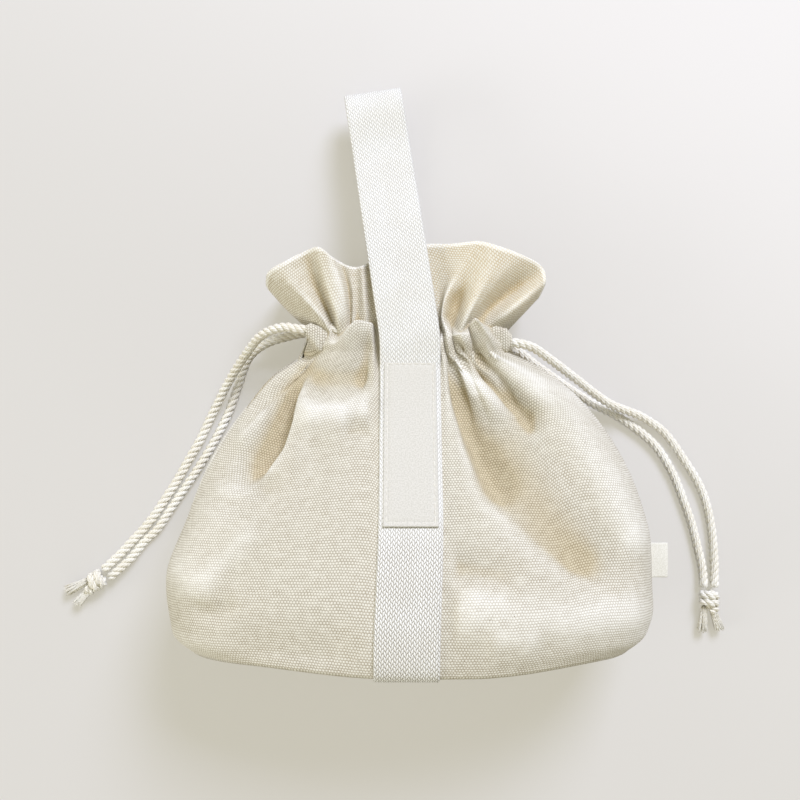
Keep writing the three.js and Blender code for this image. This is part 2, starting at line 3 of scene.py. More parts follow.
import bpy
import numpy as np
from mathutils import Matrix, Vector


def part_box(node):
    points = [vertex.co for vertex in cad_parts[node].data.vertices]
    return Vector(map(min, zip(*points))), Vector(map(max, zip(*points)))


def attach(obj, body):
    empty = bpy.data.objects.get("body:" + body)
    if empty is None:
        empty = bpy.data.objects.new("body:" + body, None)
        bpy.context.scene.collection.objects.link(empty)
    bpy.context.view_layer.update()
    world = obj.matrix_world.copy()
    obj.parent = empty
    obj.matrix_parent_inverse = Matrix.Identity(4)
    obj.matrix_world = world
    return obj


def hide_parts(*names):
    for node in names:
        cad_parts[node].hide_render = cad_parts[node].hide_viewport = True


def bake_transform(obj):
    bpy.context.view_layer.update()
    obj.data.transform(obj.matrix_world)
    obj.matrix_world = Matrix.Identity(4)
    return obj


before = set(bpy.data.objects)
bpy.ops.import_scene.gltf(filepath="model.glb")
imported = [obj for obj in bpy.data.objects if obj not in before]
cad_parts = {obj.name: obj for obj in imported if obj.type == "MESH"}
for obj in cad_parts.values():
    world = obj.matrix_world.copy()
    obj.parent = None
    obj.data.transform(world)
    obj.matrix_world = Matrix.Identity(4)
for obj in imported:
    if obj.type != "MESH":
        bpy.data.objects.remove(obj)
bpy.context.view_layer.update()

MM = 0.001

# The table that the bag lies on, a plain matt board with painted window light, paler towards the window,
# with the camera straight above it.
# Sizes in this file are millimetres in the part's own frame: z = 0 is the table and +Y runs to the handle.
EYE = (-5.0, 50.0, 565.0)
FOCAL = 1045.0
FRAME_SIDE = 800
SENSOR = 36.0
NEAREST = 10.0
TABLE_SIDE = 3000.0
TABLE_SHADED_SIDE, TABLE_WINDOW_LIT_SIDE = (157, 157, 164), (181, 181, 190)
TABLE_GLOW = (169, 165, 151)

scene = bpy.context.scene
scene.view_settings.view_transform = "Standard"
bpy.ops.object.select_all(action="DESELECT")
bpy.ops.object.camera_add(location=[v * MM for v in EYE], rotation=(0, 0, 0))
camera = bpy.context.object
camera.data.sensor_width = SENSOR
camera.data.lens = SENSOR * FOCAL / FRAME_SIDE
camera.data.clip_start = NEAREST * MM
scene.camera = camera


def paint(red, green, blue):
    """A colour as a paint card gives it, 0 to 255, as the linear colour that a shader takes."""
    shares = (red / 255, green / 255, blue / 255)
    linear = [c / 12.92 if c <= 0.04045 else ((c + 0.055) / 1.055) ** 2.4 for c in shares]
    return (*linear, 1.0)


class Wire:
    """One socket of a material: + - * / ** add Math nodes, and node() adds any other."""

    def __init__(self, tree, socket=None):
        self.tree, self.socket = tree, socket

    def node(self, kind, settings=(), inputs=(), out=0):
        made = self.tree.nodes.new("ShaderNode" + kind)
        for name, value in dict(settings).items():
            setattr(made, name, value)
        for name, value in dict(inputs).items():
            if isinstance(value, Wire):
                self.tree.links.new(value.socket, made.inputs[name])
            else:
                made.inputs[name].default_value = value
        return Wire(self.tree, made.outputs[out])

    def other(self, out):
        """Another output of the node that this socket is on."""
        return Wire(self.tree, self.socket.node.outputs[out])

    def into(self, socket):
        self.tree.links.new(self.socket, socket)

    def maths(self, operation, *values):
        return self.node("Math", {"operation": operation}, enumerate(values))

    def mix(self, low, high):
        """A colour from low, where this value is 0, to high, where it is 1."""
        return self.node("Mix", {"data_type": "RGBA"}, {0: self, 6: low, 7: high}, 2)

    def times(self, colour, share=1.0):
        """This colour multiplied by another, in full or by a share."""
        settings = {"data_type": "RGBA", "blend_type": "MULTIPLY"}
        return self.node("Mix", settings, {0: share, 6: self, 7: colour}, 2)

    def between(self, low, high):
        """0 below low, 1 above high, smooth between them."""
        return self.node("MapRange", {"interpolation_type": "SMOOTHSTEP"}, {0: self, 1: low, 2: high})

    def cos(self):
        return self.maths("COSINE", self)

    def uv(self):
        return self.node("UVMap", {"uv_map": "UVMap"})

    def axes(self):
        """The first coordinate of this place. other(1) of it is the second."""
        return self.node("SeparateXYZ", inputs={0: self})

    def noise(self, scale, detail, dimensions="2D"):
        """Cloudy values at this place, from 0 to 1."""
        inputs = {"Vector": self, "Scale": scale, "Detail": detail}
        return self.node("TexNoise", {"noise_dimensions": dimensions}, inputs)

    def emboss(self, shader, strength, depth):
        """Makes a shader's surface look raised where this value is high."""
        bump = self.node("Bump", inputs={"Strength": strength, "Distance": depth, "Height": self})
        bump.into(shader["Normal"])

    def __add__(self, other):
        return self.maths("ADD", self, other)

    def __sub__(self, other):
        return self.maths("SUBTRACT", self, other)

    def __rsub__(self, other):
        return self.maths("SUBTRACT", other, self)

    def __mul__(self, other):
        return self.maths("MULTIPLY", self, other)

    def __truediv__(self, other):
        return self.maths("DIVIDE", self, other)

    def __pow__(self, other):
        return self.maths("POWER", self, other)

    __radd__, __rmul__ = __add__, __mul__


def new_finish(name, roughness, sheen=0.0):
    """A matt material, the sockets of its shader and a wire to start from."""
    material = bpy.data.materials.new(name)
    material.use_nodes = True
    shader = material.node_tree.nodes["Principled BSDF"]
    shader.inputs["Roughness"].default_value = roughness
    shader.inputs["Specular IOR Level"].default_value = 0.2
    shader.inputs["Sheen Weight"].default_value = sheen
    shader.inputs["Sheen Roughness"].default_value = 0.6
    return material, shader.inputs, Wire(material.node_tree)


bpy.ops.mesh.primitive_plane_add(size=TABLE_SIDE * MM)
table = bpy.context.object
table.name = "table"
table_paint, shader, wire = new_finish("table_paint", 0.75)
place = wire.node("TexCoord", out=3).axes()
# Painted light: the board's colour runs from darker to paler towards the window, as the window's light would
# fall.
towards_window = place * 0.6 + place.other(1) * 0.8
towards_window.between(-0.05, 0.36).mix(paint(*TABLE_SHADED_SIDE), paint(*TABLE_WINDOW_LIT_SIDE)).into(shader["Base Color"])
glow = wire.node("LightPath").mix((0, 0, 0, 1), paint(*TABLE_GLOW))
glow.into(shader["Emission Color"])
shader["Emission Strength"].default_value = 1.0
table.data.materials.append(table_paint)

# Soft daylight: a warm pale room all round, a cooler window beyond the handle, to the right, that shades the
# folds, and two pale walls, to the left and below, that throw some of it back low along the table.
WARM, COOL, PALE = (1.0, 0.955, 0.72), (1.0, 1.04, 1.24), (1.0, 0.985, 0.94)
ROOM_LIGHT = 0.42
LIGHT_AWAY = 3.0
# Bearing from +X and height above the table in degrees, side in metres, share of the light, colour
LIGHTS = [(66, 42, 1.2, 0.53, COOL), (192, 14, 1.6, 0.11, PALE), (285, 14, 1.6, 0.04, PALE)]

room = bpy.data.worlds.new("room")
room.use_nodes = True
room.node_tree.nodes["Background"].inputs["Color"].default_value = (*WARM, 1)
room.node_tree.nodes["Background"].inputs["Strength"].default_value = ROOM_LIGHT
scene.world = room
for bearing, height, side, share, colour in LIGHTS:
    turn, rise = math.radians(bearing), math.radians(height)
    towards = (math.cos(turn) * math.cos(rise), math.sin(turn) * math.cos(rise), math.sin(rise))
    at = [LIGHT_AWAY * v for v in towards]
    bpy.ops.object.light_add(type="AREA", location=at, rotation=(math.pi / 2 - rise, 0, turn + math.pi / 2))
    light = bpy.context.object
    light.data.size = side
    light.data.energy = share * (math.pi * LIGHT_AWAY) ** 2 / math.sin(rise)
    light.data.color = colour

# Front of the bag: one piece of unbleached cotton canvas, sewn to the back at its sides, gathered by the
# cords at the neck and flaring above them into the frill. It is laid out as a grid from base seam to hem.
CANVAS = 1.2
BASE_Y, NECK_LENGTH = -75.0, 149.0
FRONT_ROUND, BACK_ROUND = 2.6, 3.2
BAND_HALF = 16.0
FLAT_HALF = 15.3
CLOTH_HALF = 150.0
BAND_SHARE = BAND_HALF / CLOTH_HALF
BACK_BAND_ROOM, BACK_BAND_RAMP = 2.3, 4.0
ON_TABLE = 0.1
OUTLINE_POINTS = 721
OUTLINE_TOP, OUTLINE_STEP = 80.0, 0.5
COLUMNS = 281
LOW_ROWS, CHANNEL_ROWS, FRILL_ROWS = 112, 9, 36
GATHER_REACH, GATHER_FADE = 19.0, 1.25

# Share of the way from base to neck; half widths left and right; heights of front, side seam and back;
# how far the left side seam is pulled round to the front.
SECTIONS = np.array([
    (0.000, 110.4, 109.0, 97.3, 46.0, 7.0, 0.0),
    (0.035, 117.4, 115.6, 98.8, 46.0, 2.0, 0.0),
    (0.100, 120.5, 120.0, 99.5, 46.0, 0.0, 0.0),
    (0.250, 120.2, 120.5, 96.5, 45.0, 0.0, 0.0),
    (0.440, 110.8, 116.5, 85.5, 42.0, 0.0, 0.5),
    (0.650, 99.1, 106.0, 69.5, 37.0, 0.0, 1.5),
    (0.830, 83.2, 88.0, 56.0, 33.0, 3.0, 1.5),
    (0.935, 71.0, 71.5, 49.5, 31.0, 10.0, 1.5),
    (1.000, 57.0, 56.0, 46.0, 30.0, 14.2, 1.0),
])


def seen(across, down, height):
    """The point at a height that the camera sees at a place in its frame."""
    reach = (EYE[2] - height) / FOCAL
    middle = FRAME_SIDE / 2
    return ((across - middle) * reach + EYE[0], (middle - down) * reach + EYE[1], height)


def through(stops, values, at):
    """A smooth curve through values at the stops, read at other places."""
    stops, values, at = np.asarray(stops, float), np.asarray(values, float), np.asarray(at, float)
    steps = np.diff(stops)
    shape = (-1,) + (1,) * (values.ndim - 1)
    slopes = np.diff(values, axis=0) / steps.reshape(shape)
    before, after = steps[:-1].reshape(shape), steps[1:].reshape(shape)
    inner = (after * slopes[:-1] + before * slopes[1:]) / (before + after)
    tangents = np.concatenate([slopes[:1], inner, slopes[-1:]])
    at = np.clip(at, stops[0], stops[-1])
    k = np.clip(np.searchsorted(stops, at, side="right") - 1, 0, len(steps) - 1)
    wide = at.shape + (1,) * (values.ndim - 1)
    h, t = steps[k].reshape(wide), ((at - stops[k]) / steps[k]).reshape(wide)
    return ((2 * t**3 - 3 * t**2 + 1) * values[k] + (t**3 - 2 * t**2 + t) * h * tangents[k]
            + (3 * t**2 - 2 * t**3) * values[k + 1] + (t**3 - t**2) * h * tangents[k + 1])


def ease(low, high, value):
    """0 below low, 1 above high, smooth between them."""
    t = np.clip((value - low) / (high - low), 0, 1)
    return t * t * (3 - 2 * t)


def arc(points):
    """Length along a line of points, from its start."""
    return np.concatenate([[0], np.cumsum(np.linalg.norm(np.diff(points, axis=0), axis=1))])


def lengths(points, axis):
    """Length along every line of a grid of points, from its start."""
    steps = np.diff(points, axis=axis, prepend=np.take(points, [0], axis))
    return np.cumsum(np.linalg.norm(steps, axis=2), axis=axis)


def grid(*axes):
    """A grid of points from coordinates that change along its rows, its columns or both."""
    return np.stack(np.broadcast_arrays(*axes), -1)


def section(y):
    """The bag's outline at a height as (x, z): front from left to right, then back from right to left."""
    share = (y - BASE_Y) / NECK_LENGTH
    left, right, front, seam, back, pulled = through(SECTIONS[:, 0], SECTIONS[:, 1:], share)
    turn = np.linspace(-math.pi / 2, math.pi / 2, OUTLINE_POINTS)
    side = np.where(turn < 0, left, right) * np.sign(turn)
    x = side * np.abs(np.sin(turn)) ** (2 / FRONT_ROUND)
    z = seam + (front - seam) * np.cos(turn) ** (2 / FRONT_ROUND)
    z = np.minimum(z, np.interp(FLAT_HALF, x, z))
    x_back = side * np.abs(np.sin(turn)) ** (2 / BACK_ROUND)
    z_back = np.maximum(seam - (seam - max(back, 0)) * np.cos(turn) ** (2 / BACK_ROUND), ON_TABLE)
    under_band = 1 - ease(FLAT_HALF, FLAT_HALF + BACK_BAND_RAMP, np.abs(x_back))
    z_back = z_back + BACK_BAND_ROOM * under_band
    cut = x < -(left - pulled)
    front_line = np.stack([x, z], 1)
    back_line = np.stack([x_back, z_back], 1)[::-1]
    return front_line[~cut], np.concatenate([back_line, front_line[cut]])


def spread(u, line):
    """Places along an outline for cloth shares u: even under the band, then even out to the seams."""
    length = arc(line)
    x = line[:, 0]
    middle = np.interp(0, x, length) if x[-1] > x[0] else length[np.argmin(np.abs(x))]
    out = np.clip((np.abs(u) - BAND_SHARE) / (1 - BAND_SHARE), 0, 1)
    inside = np.minimum(np.abs(u) / BAND_SHARE, 1) * BAND_HALF
    reach = np.where(u < 0, middle, length[-1] - middle)
    at = middle + np.sign(u) * (inside + out * (reach - BAND_HALF))
    return np.interp(at, length, x), np.interp(at, length, line[:, 1])


u_all = np.linspace(-1, 1, COLUMNS)
heights = np.arange(BASE_Y, OUTLINE_TOP, OUTLINE_STEP)
front_table = np.array([spread(u_all, section(y)[0]) for y in heights])
back_table = np.array([spread(u_all, section(y)[1]) for y in heights])


def read_table(outline_table, y):
    """Outline points for a whole grid of heights, one column at a time."""
    x, z = np.empty_like(y), np.empty_like(y)
    for column in range(COLUMNS):
        x[:, column] = np.interp(y[:, column], heights, outline_table[:, 0, column])
        z[:, column] = np.interp(y[:, column], heights, outline_table[:, 1, column])
    return x, z


def band_share(u):
    """Cloth shares measured along the frill, moved so that the band's edges stay under the band."""
    u = np.asarray(u, float)
    edge = 0.151
    outer = BAND_SHARE + (np.abs(u) - edge) / (1 - edge) * (1 - BAND_SHARE)
    return np.sign(u) * np.where(np.abs(u) < edge, np.abs(u) / edge * BAND_SHARE, outer)


# The neck's crest, where the body's folds bunch up against the casing: share of the cloth, then the place as
# the camera sees it (across, down, height)
CREST = np.array([
    (-1.000, 303, 357, 31), (-0.930, 306, 356, 36), (-0.800, 318, 350.5, 42), (-0.680, 328, 346, 45.5),
    (-0.560, 337, 342.8, 48), (-0.470, 342, 337, 49.5), (-0.390, 346, 330.5, 50.5), (-0.310, 351, 324, 51),
    (-0.240, 357, 320, 51), (-0.190, 365, 321, 50), (-0.165, 372.5, 323.5, 48.5), (-0.151, 374, 327, 44),
    (-0.110, 380, 338, 46), (-0.050, 390, 345, 46.6), (0.000, 398, 345, 46.8), (0.073, 418, 345, 46.8),
    (0.151, 438, 345, 46.5), (0.190, 440, 343, 48.6), (0.238, 443.6, 341, 46.5), (0.252, 443, 340, 44.5),
    (0.268, 443.2, 340, 46), (0.305, 447.5, 338, 49.8), (0.342, 452.6, 338, 46.5), (0.357, 452, 337, 44.5),
    (0.375, 452.4, 337, 46.5), (0.445, 461, 334, 51), (0.515, 469.8, 334, 47), (0.536, 469.4, 332, 45.0),
    (0.560, 469.8, 326, 47), (0.640, 476, 318, 50.5), (0.720, 483, 326, 51), (0.800, 489, 335, 50),
    (0.870, 497, 344, 47), (0.940, 506, 346, 41), (1.000, 514, 347, 31),
])
low_line = through(band_share(CREST[:, 0]), np.array([seen(*c[1:]) for c in CREST]), u_all)

# Fold lines of the frill: share of the cloth, then places from the neck up to the hem, as the camera sees
# them (across, down, height)
FOLDS = [
    (-1.000, (308, 331, 31), (287, 312, 34), (267, 290, 36)),
    (-0.901, (318, 331, 38), (291, 305, 41), (266, 280, 41)),
    (-0.805, (326, 333, 42), (299, 302, 45), (268, 272, 44)),
    (-0.683, (331, 331, 44), (323, 317, 46), (303, 291, 47), (283, 262, 46)),
    (-0.602, (335, 331, 40), (328, 313, 39.5), (317, 290, 41), (304, 251.5, 43)),
    (-0.508, (340, 334, 44), (337, 316, 47), (329, 288, 48), (319, 247, 47)),
    (-0.425, (347, 327, 44), (345.5, 302, 46), (341, 281, 47), (332, 256.5, 46.5)),
    (-0.381, (350, 324, 41), (349, 302, 40.5), (346, 283, 41), (339, 261, 42)),
    (-0.304, (353, 322, 43), (353, 294, 42), (349, 266, 41)),
    (-0.242, (358.5, 321, 41), (358, 293, 41), (356.5, 267, 40)),
    (-0.193, (366, 322, 43), (364, 293, 43), (362, 265.5, 41)),
    (-0.151, (371.5, 323, 42), (369, 292, 41), (367, 263.6, 39)),
    (-0.076, (385, 321, 43), (382, 288, 42), (380, 256, 39)),
    (0.000, (398, 321, 43), (396, 286, 42), (394, 250, 38)),
    (0.073, (418, 321, 43), (414, 284, 42), (410, 246, 39)),
    (0.151, (437, 325, 43), (431, 284, 42), (427, 244, 39)),
    (0.252, (440, 320, 44), (441, 303, 43), (444, 280, 42.5), (453, 243.5, 42)),
    (0.319, (443, 314, 47), (446, 300, 46.5), (454, 283, 45.5), (477, 241, 44.5)),
    (0.357, (450, 318, 42), (455, 303, 41), (463, 286, 44), (485, 242, 46)),
    (0.426, (459, 330, 47), (466, 311, 48.5), (474, 294, 49), (496, 245, 47)),
    (0.536, (468, 324, 45), (475, 311, 47), (485, 294, 48), (517, 252.5, 46)),
    (0.697, (481, 322, 40), (492, 309, 38), (509, 295, 38), (543, 268, 42)),
    (0.788, (489, 325, 43), (514, 305, 46), (546, 280, 44)),
    (0.900, (496, 331, 39), (520, 312, 42), (542, 292, 40)),
    (1.000, (509, 331, 31), (522, 317, 33), (535, 302, 34)),
]
fold_u = band_share([f[0] for f in FOLDS])
fold_points = [np.array([seen(*p) for p in f[1:]]) for f in FOLDS]


def frill_rows(lines, shares):
    """The frill's cross lines from the neck to the hem, smooth along every fold line and across them."""
    steps = np.linspace(0, 1, FRILL_ROWS)
    ribs = np.array([through(arc(line) / arc(line)[-1], line, steps) for line in lines])
    return np.array([through(shares, ribs[:, k], u_all) for k in range(FRILL_ROWS)])


def lay_cloth(outline_table, low, points, shares):
    """The whole grid of one side of the bag: body, gathered channel and frill."""
    share = np.linspace(0, 1, LOW_ROWS)[:, None]
    y = BASE_Y + share * (low[:, 1] - BASE_Y)[None]
    x, z = read_table(outline_table, y)
    fade = np.exp(-(np.maximum(low[:, 1][None] - y, 0) / GATHER_REACH) ** GATHER_FADE)
    body = np.stack([x + fade * (low[:, 0] - x[-1]), y, z + fade * (low[:, 2] - z[-1])], 2)
    frill = frill_rows(points, shares)
    high = frill[0]
    steps = np.linspace(0, 1, CHANNEL_ROWS + 2)[1:-1]
    channel = np.array([low + (high - low) * ease(0, 1, t) for t in steps])
    channel[:, :, 1] = low[:, 1] + (high - low)[:, 1] * steps[:, None]
    return np.concatenate([body, channel, frill])


# The ends of the base: side, how far the end lifts, where that begins and is full, how far the bag is drawn
# in there, and the heights between which that fades out
BASE_ENDS = [(-1, 4.4, 8, 78, 3.2, -58, -30), (1, 4.6, 28, 92, 2.6, -50, -10)]
DRAWN_IN_FROM, DRAWN_IN_FULL = 50, 112
LIFT_FADE = 42


def settle(points):
    """The base's ends lie higher than its middle, and the bag is a little narrower there."""
    x, y = points[..., 0], points[..., 1]
    moved = points.copy()
    for side, lift, lift_from, lift_full, drawn_in, fade_from, fade_to in BASE_ENDS:
        narrow = drawn_in * ease(DRAWN_IN_FROM, DRAWN_IN_FULL, side * x)
        moved[..., 0] -= side * narrow * (1 - ease(fade_from, fade_to, y))
        rise = lift * ease(lift_from, lift_full, side * x)
        moved[..., 1] += rise * (1 - ease(0, LIFT_FADE, y - BASE_Y))
    return moved


def outward(points):
    """Unit normals of a grid of points."""
    across, up = np.gradient(points, axis=1), np.gradient(points, axis=0)
    normal = np.cross(across, up)
    return normal / np.maximum(np.linalg.norm(normal, axis=2, keepdims=True), 1e-9)


# Folds in the body: a line as the camera sees it, its depth (minus is a valley), and its widths on the left
# and on the right of the line as it is followed
STROKES = [
    ([(298, 368), (290, 398), (284, 425), (268, 455), (240, 484)], -6.5, 23, 3),
    ([(290, 372), (268, 402), (244, 432), (232, 452)], 2.4, 6, 8),
    ([(304, 357), (280, 383), (256, 412), (234, 443)], -1.6, 3, 3),
    ([(308, 362), (299, 393), (294, 420), (284, 448), (262, 476), (240, 496)], 4.5, 3, 18),
    ([(342, 428), (375, 432)], -2.0, 8, 10),
    ([(296, 414), (356, 414)], 2.2, 16, 8),
    ([(375, 331), (371, 350), (365, 374), (359, 396)], -3.2, 10, 2.5),
    ([(208, 490), (238, 492), (258, 497)], 1.0, 8, 10),
    ([(268, 515), (240, 545), (210, 580), (180, 610)], 2.0, 13, 13),
    ([(185, 607), (215, 613), (240, 600)], -1.6, 9, 9),
    ([(215, 650), (290, 653), (372, 652)], -2.2, 32, 32),
    ([(452, 335), (462, 352), (474, 366), (495, 386)], -2.8, 3, 5),
    ([(474, 350), (482, 366), (492, 380), (510, 398), (530, 413)], -3.0, 5, 7),
    ([(522, 407), (533, 416), (535, 436)], -2.5, 7, 7),
    ([(449, 357), (462, 372), (482, 392), (505, 420)], 4.0, 10, 10),
    ([(443, 366), (450, 390), (460, 412), (472, 444), (486, 474), (498, 496)], -2.2, 2.5, 16),
    ([(458, 424), (486, 474), (510, 506), (537, 534), (575, 566), (609, 582), (640, 588)], -3.0, 11, 38),
    ([(441, 366), (448, 395), (456, 420), (466, 452), (484, 490)], 1.8, 8, 3),
    ([(458, 594), (515, 596)], 1.0, 14, 16),
    ([(480, 642), (545, 644)], 1.4, 18, 14),
]

# Ridges painted paler, as painted highlight, written as the folds are
PAINTED_HIGHLIGHT_RIDGES = [
    ([(450, 356), (464, 378), (484, 398)], 1.1, 8, 8),
    ([(484, 348), (506, 364), (532, 384), (556, 408)], 0.5, 9, 9),
]
STROKE_ENDS = 0.3

# Large folds of the front: (x, y) points that a fold runs through, how far it stands out, half its width
LARGE_FOLDS = [
    ([(-54, 65), (-61, 40), (-70, 14)], -6, 10),
    ([(-48, 44), (-24, 44)], 3, 11),
    ([(-42, 60), (-22, 61)], -3, 7),
    ([(-92, -8), (-104, -30)], 2.5, 12),
    ([(23, 62), (29, 37), (41, 12)], -6, 9),
    ([(33, 70), (57, 44)], -5, 6),
    ([(46, 70), (73, 45), (94, 8), (102, -14)], 4.5, 12),
    ([(50, 30), (66, 0), (84, -20)], -4, 16),
    ([(22, -26), (40, -30)], -3, 8),
    ([(30, -46), (70, -50), (98, -48)], 3.5, 13),
]
BAND_HOLDS, BAND_FREES = 16.5, 22.0
SEAM_DIP, SEAM_WIDTH = 0.6, 1.4
ROLL_SHARE, ROLL_AT, ROLL_WIDTH = 0.55, 4.2, 2.4


def fold_lift(spot, folds, ends):
    """How far folds lift a grid of places. Each fades out at its ends, over a share of its length."""
    lift = np.zeros(spot.shape[:2])
    for line, depth, wide_left, wide_right in folds:
        line = np.array(line, float)
        length = arc(line)
        nearest = np.full(lift.shape, 1e9)
        signed, along = np.zeros_like(lift), np.zeros_like(lift)
        for k in range(len(line) - 1):
            run = line[k + 1] - line[k]
            t = np.clip(((spot - line[k]) @ run) / (run @ run), 0, 1)
            gap = spot - (line[k] + t[..., None] * run)
            far = np.linalg.norm(gap, axis=2)
            side = np.sign(run[0] * gap[..., 1] - run[1] * gap[..., 0])
            closer = far < nearest
            nearest[closer] = far[closer]
            signed[closer] = (far * side)[closer]
            along[closer] = (length[k] + t * (length[k + 1] - length[k]))[closer]
        width = np.where(signed < 0, wide_right, wide_left)
        fade = ends * length[-1]
        taper = ease(-1, fade, along) * ease(-1, fade, length[-1] - along)
        lift += depth * taper * np.exp(-(nearest / width) ** 2)
    return lift


def as_seen(points):
    """Where the camera sees points of the cloth (across, down)."""
    reach = FOCAL / (EYE[2] - points[:, :, 2])
    return np.stack([FRAME_SIDE / 2 + (points[:, :, 0] - EYE[0]) * reach,
                     FRAME_SIDE / 2 - (points[:, :, 1] - EYE[1]) * reach], 2)


def crumple(points, normal):
    """How far each point of the front moves out along its normal. The band holds the cloth flat."""
    lift = fold_lift(points[:, :, :2], [(*fold, fold[-1]) for fold in LARGE_FOLDS], 0)
    lift += fold_lift(as_seen(points), STROKES, STROKE_ENDS)
    free = ease(BAND_HOLDS, BAND_FREES, np.abs(points[:, :, 0]))
    facing_up = ease(0.05, 0.45, normal[:, :, 2])
    return lift * free * facing_up


def seam_roll(points):
    """The dip of the side seams and the soft ridge beside it."""
    moved = np.zeros(points.shape[:2])
    for turned in (points, points[:, ::-1]):
        gap = lengths(turned, 1)
        roll = ROLL_SHARE * SEAM_DIP * np.exp(-((gap - ROLL_AT) / ROLL_WIDTH) ** 2)
        dip = -SEAM_DIP * np.exp(-(gap / SEAM_WIDTH) ** 2) + roll
        moved += dip if turned is points else dip[:, ::-1]
    return moved


def evened(values, reach):
    """Values averaged with those up to a reach before and after them, lane by lane."""
    weights = np.exp(-np.linspace(-2, 2, 2 * reach + 1) ** 2)
    weights = weights / weights.sum()
    lanes = np.pad(values, ((reach, reach), (0, 0)), mode="edge")
    return np.stack([np.convolve(lane, weights, mode="valid") for lane in lanes.T], 1)


def cloth_uv(points, rows_evened=16, columns_evened=70):
    """Thread coordinates: across from the band's centre and up from the base, as long as the cloth is."""
    across = lengths(points, 1)
    across = across - across[:, COLUMNS // 2][:, None]
    up = lengths(points, 0)
    return np.stack([evened(across, rows_evened), evened(up.T, columns_evened).T], 2)


def hollows(points, normal):
    """How deep the cloth lies in a fold: 0 on open cloth, up to 1 at the bottom, and below 0 on a ridge."""
    deep = np.zeros(points.shape[:2])
    rows, columns = points.shape[:2]
    for steps in (5, 9, 13):
        around = np.zeros_like(points)
        edged = np.pad(points, ((steps, steps), (steps, steps), (0, 0)), mode="edge")
        for dr, dc in ((0, 1), (0, -1), (1, 0), (-1, 0), (0.7, 0.7), (0.7, -0.7), (-0.7, 0.7), (-0.7, -0.7)):
            r, c = steps + round(dr * steps), steps + round(dc * steps)
            around += edged[r:r + rows, c:c + columns] / 8
        deep += np.clip(((around - points) * normal).sum(2) / (0.5 * steps), -1, 1) / 3
    return np.sign(deep) * ease(0.04, 0.55, np.abs(deep))


def grid_piece(name, points, uv, shade_and_highlight=None, merged=False):
    """A grid of points, rows upwards, as a smooth mesh whose UV map is in metres."""
    rows, columns = points.shape[:2]
    bpy.ops.object.select_all(action="DESELECT")
    bpy.ops.mesh.primitive_grid_add(x_subdivisions=columns - 1, y_subdivisions=rows - 1, size=1)
    piece = bpy.context.object
    piece.name = piece.data.name = name
    piece.data.vertices.foreach_set("co", (points * MM).ravel())
    corner = np.empty(len(piece.data.loops), int)
    piece.data.loops.foreach_get("vertex_index", corner)
    piece.data.uv_layers[0].data.foreach_set("uv", (uv.reshape(-1, 2) * MM)[corner].ravel())
    # Painted shade and highlight, kept as the "fold" attribute that the canvas reads.
    if shade_and_highlight is not None:
        fold = piece.data.attributes.new("fold", "FLOAT", "POINT")
        fold.data.foreach_set("value", shade_and_highlight.ravel().astype(np.float32))
    piece.data.update()
    bpy.ops.object.shade_smooth()
    if merged:
        bpy.ops.object.mode_set(mode="EDIT")
        bpy.ops.mesh.select_all(action="SELECT")
        bpy.ops.mesh.remove_doubles(threshold=1e-6)
        bpy.ops.mesh.normals_make_consistent(inside=False)
        bpy.ops.object.mode_set(mode="OBJECT")
    return piece


def thicken(piece, thickness):
    """Gives a sheet its thickness, on the inner side."""
    bpy.context.view_layer.objects.active = piece
    wall = piece.modifiers.new("thickness", "SOLIDIFY")
    wall.thickness = thickness * MM
    wall.offset = -1
    bpy.ops.object.modifier_apply(modifier=wall.name)


# Canvas: a plain weave of thick two-ply threads. The raised threads make staggered pale dots, the gaps
# between them are darker, and a few dark seed flecks are spun in. Painted shade and light: the cloth is
# painted paler on ridges and darker and warmer in hollows, and its gaps are painted brighter and warmer above
# the neck.
ROW, BEAD = 1.25, 1.40
DOT = paint(255, 254, 247)
# Painted highlight and painted shade: gap and whole-cloth colours for ridges (paler) and hollows (darker,
# warmer).
HIGHLIT_GAP, SHADED_GAP = paint(222, 217, 206), paint(194, 186, 170)
LIT_THROUGH_HIGHLIT_GAP, LIT_THROUGH_SHADED_GAP = paint(238, 230, 210), paint(222, 206, 174)
HIGHLIGHT_TONE, OPEN_TONE, PAINTED_SHADE_TONE = paint(255, 255, 255), paint(234, 231, 223), paint(236, 225, 200)
SEED_FLECK = paint(122, 104, 78)

canvas, shader, wire = new_finish("canvas", 0.92, sheen=0.12)
place = wire.uv()
slub = place.noise(230, 2)
across = place.axes()
wander = (slub - 0.5) * 0.55
row = across.other(1) / (ROW * MM) + wander
thread = wire.maths("FLOOR", row)
inside = row - thread - 0.5
stagger = wire.maths("FLOORED_MODULO", thread, 2.0) * 0.5
bead = (across / (BEAD * MM) + stagger + wander) * (2 * math.pi)
raised = (1 - inside * inside * 4) * (0.60 + 0.40 * bead.cos())
lengthways = wire.node("CombineXYZ", inputs={0: across * 0.12, 1: thread * 0.37})
thickness = lengthways.noise(900, 1)
speck = wire.node("TexVoronoi", {"voronoi_dimensions": "2D"}, {"Vector": place, "Scale": 85})
chosen = wire.node("SeparateColor", inputs={0: speck.other(1)}).between(0.80, 0.82)
fleck = (1 - speck.between(0.012, 0.03)) * chosen
# The "fold" values carry painted shade, up to 1 in hollows, and painted highlight, below 0 on ridges.
fold = wire.node("Attribute", {"attribute_name": "fold"}, out=2)
highlight_to_shade = fold.between(-0.8, 0.15)
spot = wire.node("TexCoord", out=3).axes()
